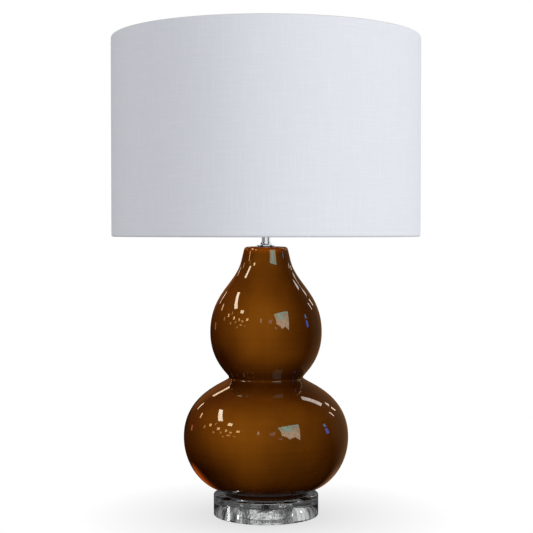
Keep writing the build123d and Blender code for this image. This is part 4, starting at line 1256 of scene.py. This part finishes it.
        self.glow_on_table("right_ember_low", (1.0, 0.44, 0.24), 0.20, (0.082, 0.014), (0.195, 0.165), 0.150, glazed)
        self.glass_table(0.44, clear)
        self.metal_table(0.55, others)
        self.strip_on_table("glass_strip", 11.0, self.strip, clear)
        context.scene.view_settings.view_transform = "Standard"
        return {"FINISHED"}

    def lighter_towards(self, tree, before, rgb, aim, narrow, level):
        """Adds a soft side of its own colour to a glow, towards an azimuth and elevation."""
        add, link = tree.nodes.new, tree.links.new
        place, unit, towards = add("ShaderNodeTexCoord"), add("ShaderNodeVectorMath"), add("ShaderNodeVectorMath")
        unit.operation, towards.operation = "NORMALIZE", "DOT_PRODUCT"
        towards.inputs[1].default_value = direction(*aim)
        ramp, more, both = add("ShaderNodeMapRange"), add("ShaderNodeEmission"), add("ShaderNodeAddShader")
        ramp.interpolation_type = "SMOOTHSTEP"
        more.inputs["Color"].default_value = (*rgb, 1.0)
        for socket, value in zip(ramp.inputs[1:5], (narrow, 1.0, 0.0, level)):
            socket.default_value = value
        link(place.outputs["Object"], unit.inputs[0])
        link(unit.outputs["Vector"], towards.inputs[0])
        link(towards.outputs["Value"], ramp.inputs["Value"])
        link(ramp.outputs["Result"], more.inputs["Strength"])
        link(before.outputs["Shader"], both.inputs[0])
        link(more.outputs["Emission"], both.inputs[1])
        return both

    def dimmer_below(self, tree, shine, height, share_left):
        """Dims a glow on the table, below a height, to a share of its strength."""
        add, link = tree.nodes.new, tree.links.new
        place, apart = add("ShaderNodeTexCoord"), add("ShaderNodeSeparateXYZ")
        ramp, product = add("ShaderNodeMapRange"), add("ShaderNodeMath")
        product.operation = "MULTIPLY"
        for socket, value in zip(ramp.inputs[1:5], (height / 2, height, share_left, 1.0)):
            socket.default_value = value
        before = shine.inputs["Strength"].links[0].from_socket
        link(place.outputs["Object"], apart.inputs["Vector"])
        link(apart.outputs["Z"], ramp.inputs["Value"])
        link(before, product.inputs[0])
        link(ramp.outputs["Result"], product.inputs[1])
        link(product.outputs["Value"], shine.inputs["Strength"])

    def rooms(self, settings, glazed, clear, others):
        """Dark and patchy for the glaze, grey stripes for the glass, white with dark sides for metal."""
        material, tree, shine, both, output = self.room("glaze_room", 4.6, glazed, (1.0, 0.42, 0.16), settings.room)
        patchy(tree, shine, 0.9, (1, 1, 1), 0.3, 0.7, 0.0, settings.room * 2)
        self.dimmer_below(tree, shine, 0.3, 0.3)
        for side in self.warm_sides:
            both = self.lighter_towards(tree, both, *side)
        tree.links.new(both.outputs["Shader"], output.inputs["Surface"])
        material, tree, shine, both, output = self.room("glass_room", 4.8, clear, (1.0, 1.0, 1.0), 0.2)
        patchy(tree, shine, 2.4, (1, 1, 0.2), 0.38, 0.62, 0.03, 0.32)
        self.dimmer_below(tree, shine, 0.05, 0.04)
        material, tree, shine, both, output = self.room("metal_room", 5.0, others, (0.97, 0.98, 1.0), 0.95)
        self.dark_bands(tree, shine, self.metal_bands, 0.95)
        link = tree.links.new
        link(shine.outputs["Emission"], output.inputs["Surface"])

    def dark_bands(self, tree, shine, bands, level):
        """Gives a glow upright dark bands at some azimuths."""
        add, link = tree.nodes.new, tree.links.new
        place, apart, turn = add("ShaderNodeTexCoord"), add("ShaderNodeSeparateXYZ"), add("ShaderNodeMath")
        front = add("ShaderNodeMath")
        turn.operation, front.operation = "ARCTAN2", "MULTIPLY"
        front.inputs[1].default_value = -1.0
        link(place.outputs["Object"], apart.inputs["Vector"])
        link(apart.outputs["X"], turn.inputs[0])
        link(apart.outputs["Y"], front.inputs[0])
        link(front.outputs["Value"], turn.inputs[1])
        left = None
        for azimuth, half in bands:
            off, size, ramp, product = (add("ShaderNodeMath"), add("ShaderNodeMath"), add("ShaderNodeMapRange"),
                                        add("ShaderNodeMath"))
            off.operation, size.operation, product.operation = "SUBTRACT", "ABSOLUTE", "MULTIPLY"
            off.inputs[1].default_value = math.radians(azimuth)
            for socket, value in zip(ramp.inputs[1:5], (math.radians(half * 0.6), math.radians(half), 0.04, 1.0)):
                socket.default_value = value
            link(turn.outputs["Value"], off.inputs[0])
            link(off.outputs["Value"], size.inputs[0])
            link(size.outputs["Value"], ramp.inputs["Value"])
            link(ramp.outputs["Result"], product.inputs[0])
            if left:
                link(left, product.inputs[1])
            else:
                product.inputs[1].default_value = level
            left = product.outputs["Value"]
        link(left, shine.inputs["Strength"])


def white_rays(tree, rays):
    """1 for camera, glossy and transmission rays."""
    first, second = tree.nodes.new("ShaderNodeMath"), tree.nodes.new("ShaderNodeMath")
    first.operation = second.operation = "MAXIMUM"
    tree.links.new(rays.outputs["Is Camera Ray"], first.inputs[0])
    tree.links.new(rays.outputs["Is Glossy Ray"], first.inputs[1])
    tree.links.new(first.outputs["Value"], second.inputs[0])
    tree.links.new(rays.outputs["Is Transmission Ray"], second.inputs[1])
    return second.outputs["Value"]


class LAMP_OT_place_camera(bpy.types.Operator):
    """Place the camera where the photograph was taken from"""
    bl_idname = "lamp.place_camera"
    bl_label = "Place the Camera"

    def execute(self, context):
        settings = context.scene.lamp_camera
        data = bpy.data.cameras.new("camera")
        data.lens, data.sensor_width = settings.lens, 36.0
        data.clip_start, data.clip_end = 0.05, 60.0
        camera = bpy.data.objects.new("camera", data)
        context.scene.collection.objects.link(camera)
        camera.location = settings.place
        camera.rotation_euler = (math.pi / 2 - settings.tilt, 0.0, 0.0)
        context.scene.camera = camera
        return {"FINISHED"}


class LAMP_PT_panel(bpy.types.Panel):
    """The lamp's steps and settings in the sidebar"""
    bl_idname = "LAMP_PT_panel"
    bl_label = "Double Gourd Lamp"
    bl_space_type = "VIEW_3D"
    bl_region_type = "UI"
    bl_category = "Lamp"

    def draw(self, context):
        layout = self.layout
        for step in STEPS:
            layout.operator(step.bl_idname)
        for name, kind in SETTINGS.items():
            box = layout.box()
            box.label(text=name.replace("_", " ").capitalize())
            for prop in kind.__annotations__:
                box.prop(getattr(context.scene, name), prop)


SETTINGS = {
    "lamp_gourd": GourdSettings,
    "lamp_disc": DiscSettings,
    "lamp_shade": ShadeSettings,
    "lamp_stage": StageSettings,
    "lamp_camera": CameraSettings,
}
STEPS = (
    LAMP_OT_place_camera, LAMP_OT_polish_disc, LAMP_OT_plate_clamp, LAMP_OT_glaze_gourd,
    LAMP_OT_fit_rubber, LAMP_OT_chrome_neck, LAMP_OT_plate_harp, LAMP_OT_fit_holder, LAMP_OT_make_bulb,
    LAMP_OT_coat_frame, LAMP_OT_stretch_linen, LAMP_OT_set_stage,
)
CLASSES = (*SETTINGS.values(), *STEPS, LAMP_PT_panel)


def register():
    for kind in CLASSES:
        bpy.utils.register_class(kind)
    for name, kind in SETTINGS.items():
        setattr(bpy.types.Scene, name, PointerProperty(type=kind))


def unregister():
    for name in SETTINGS:
        delattr(bpy.types.Scene, name)
    for kind in reversed(CLASSES):
        bpy.utils.unregister_class(kind)


def main():
    register()
    for step in STEPS:
        getattr(bpy.ops.lamp, step.bl_idname.split(".")[1])()


if __name__ == "__main__":
    main()
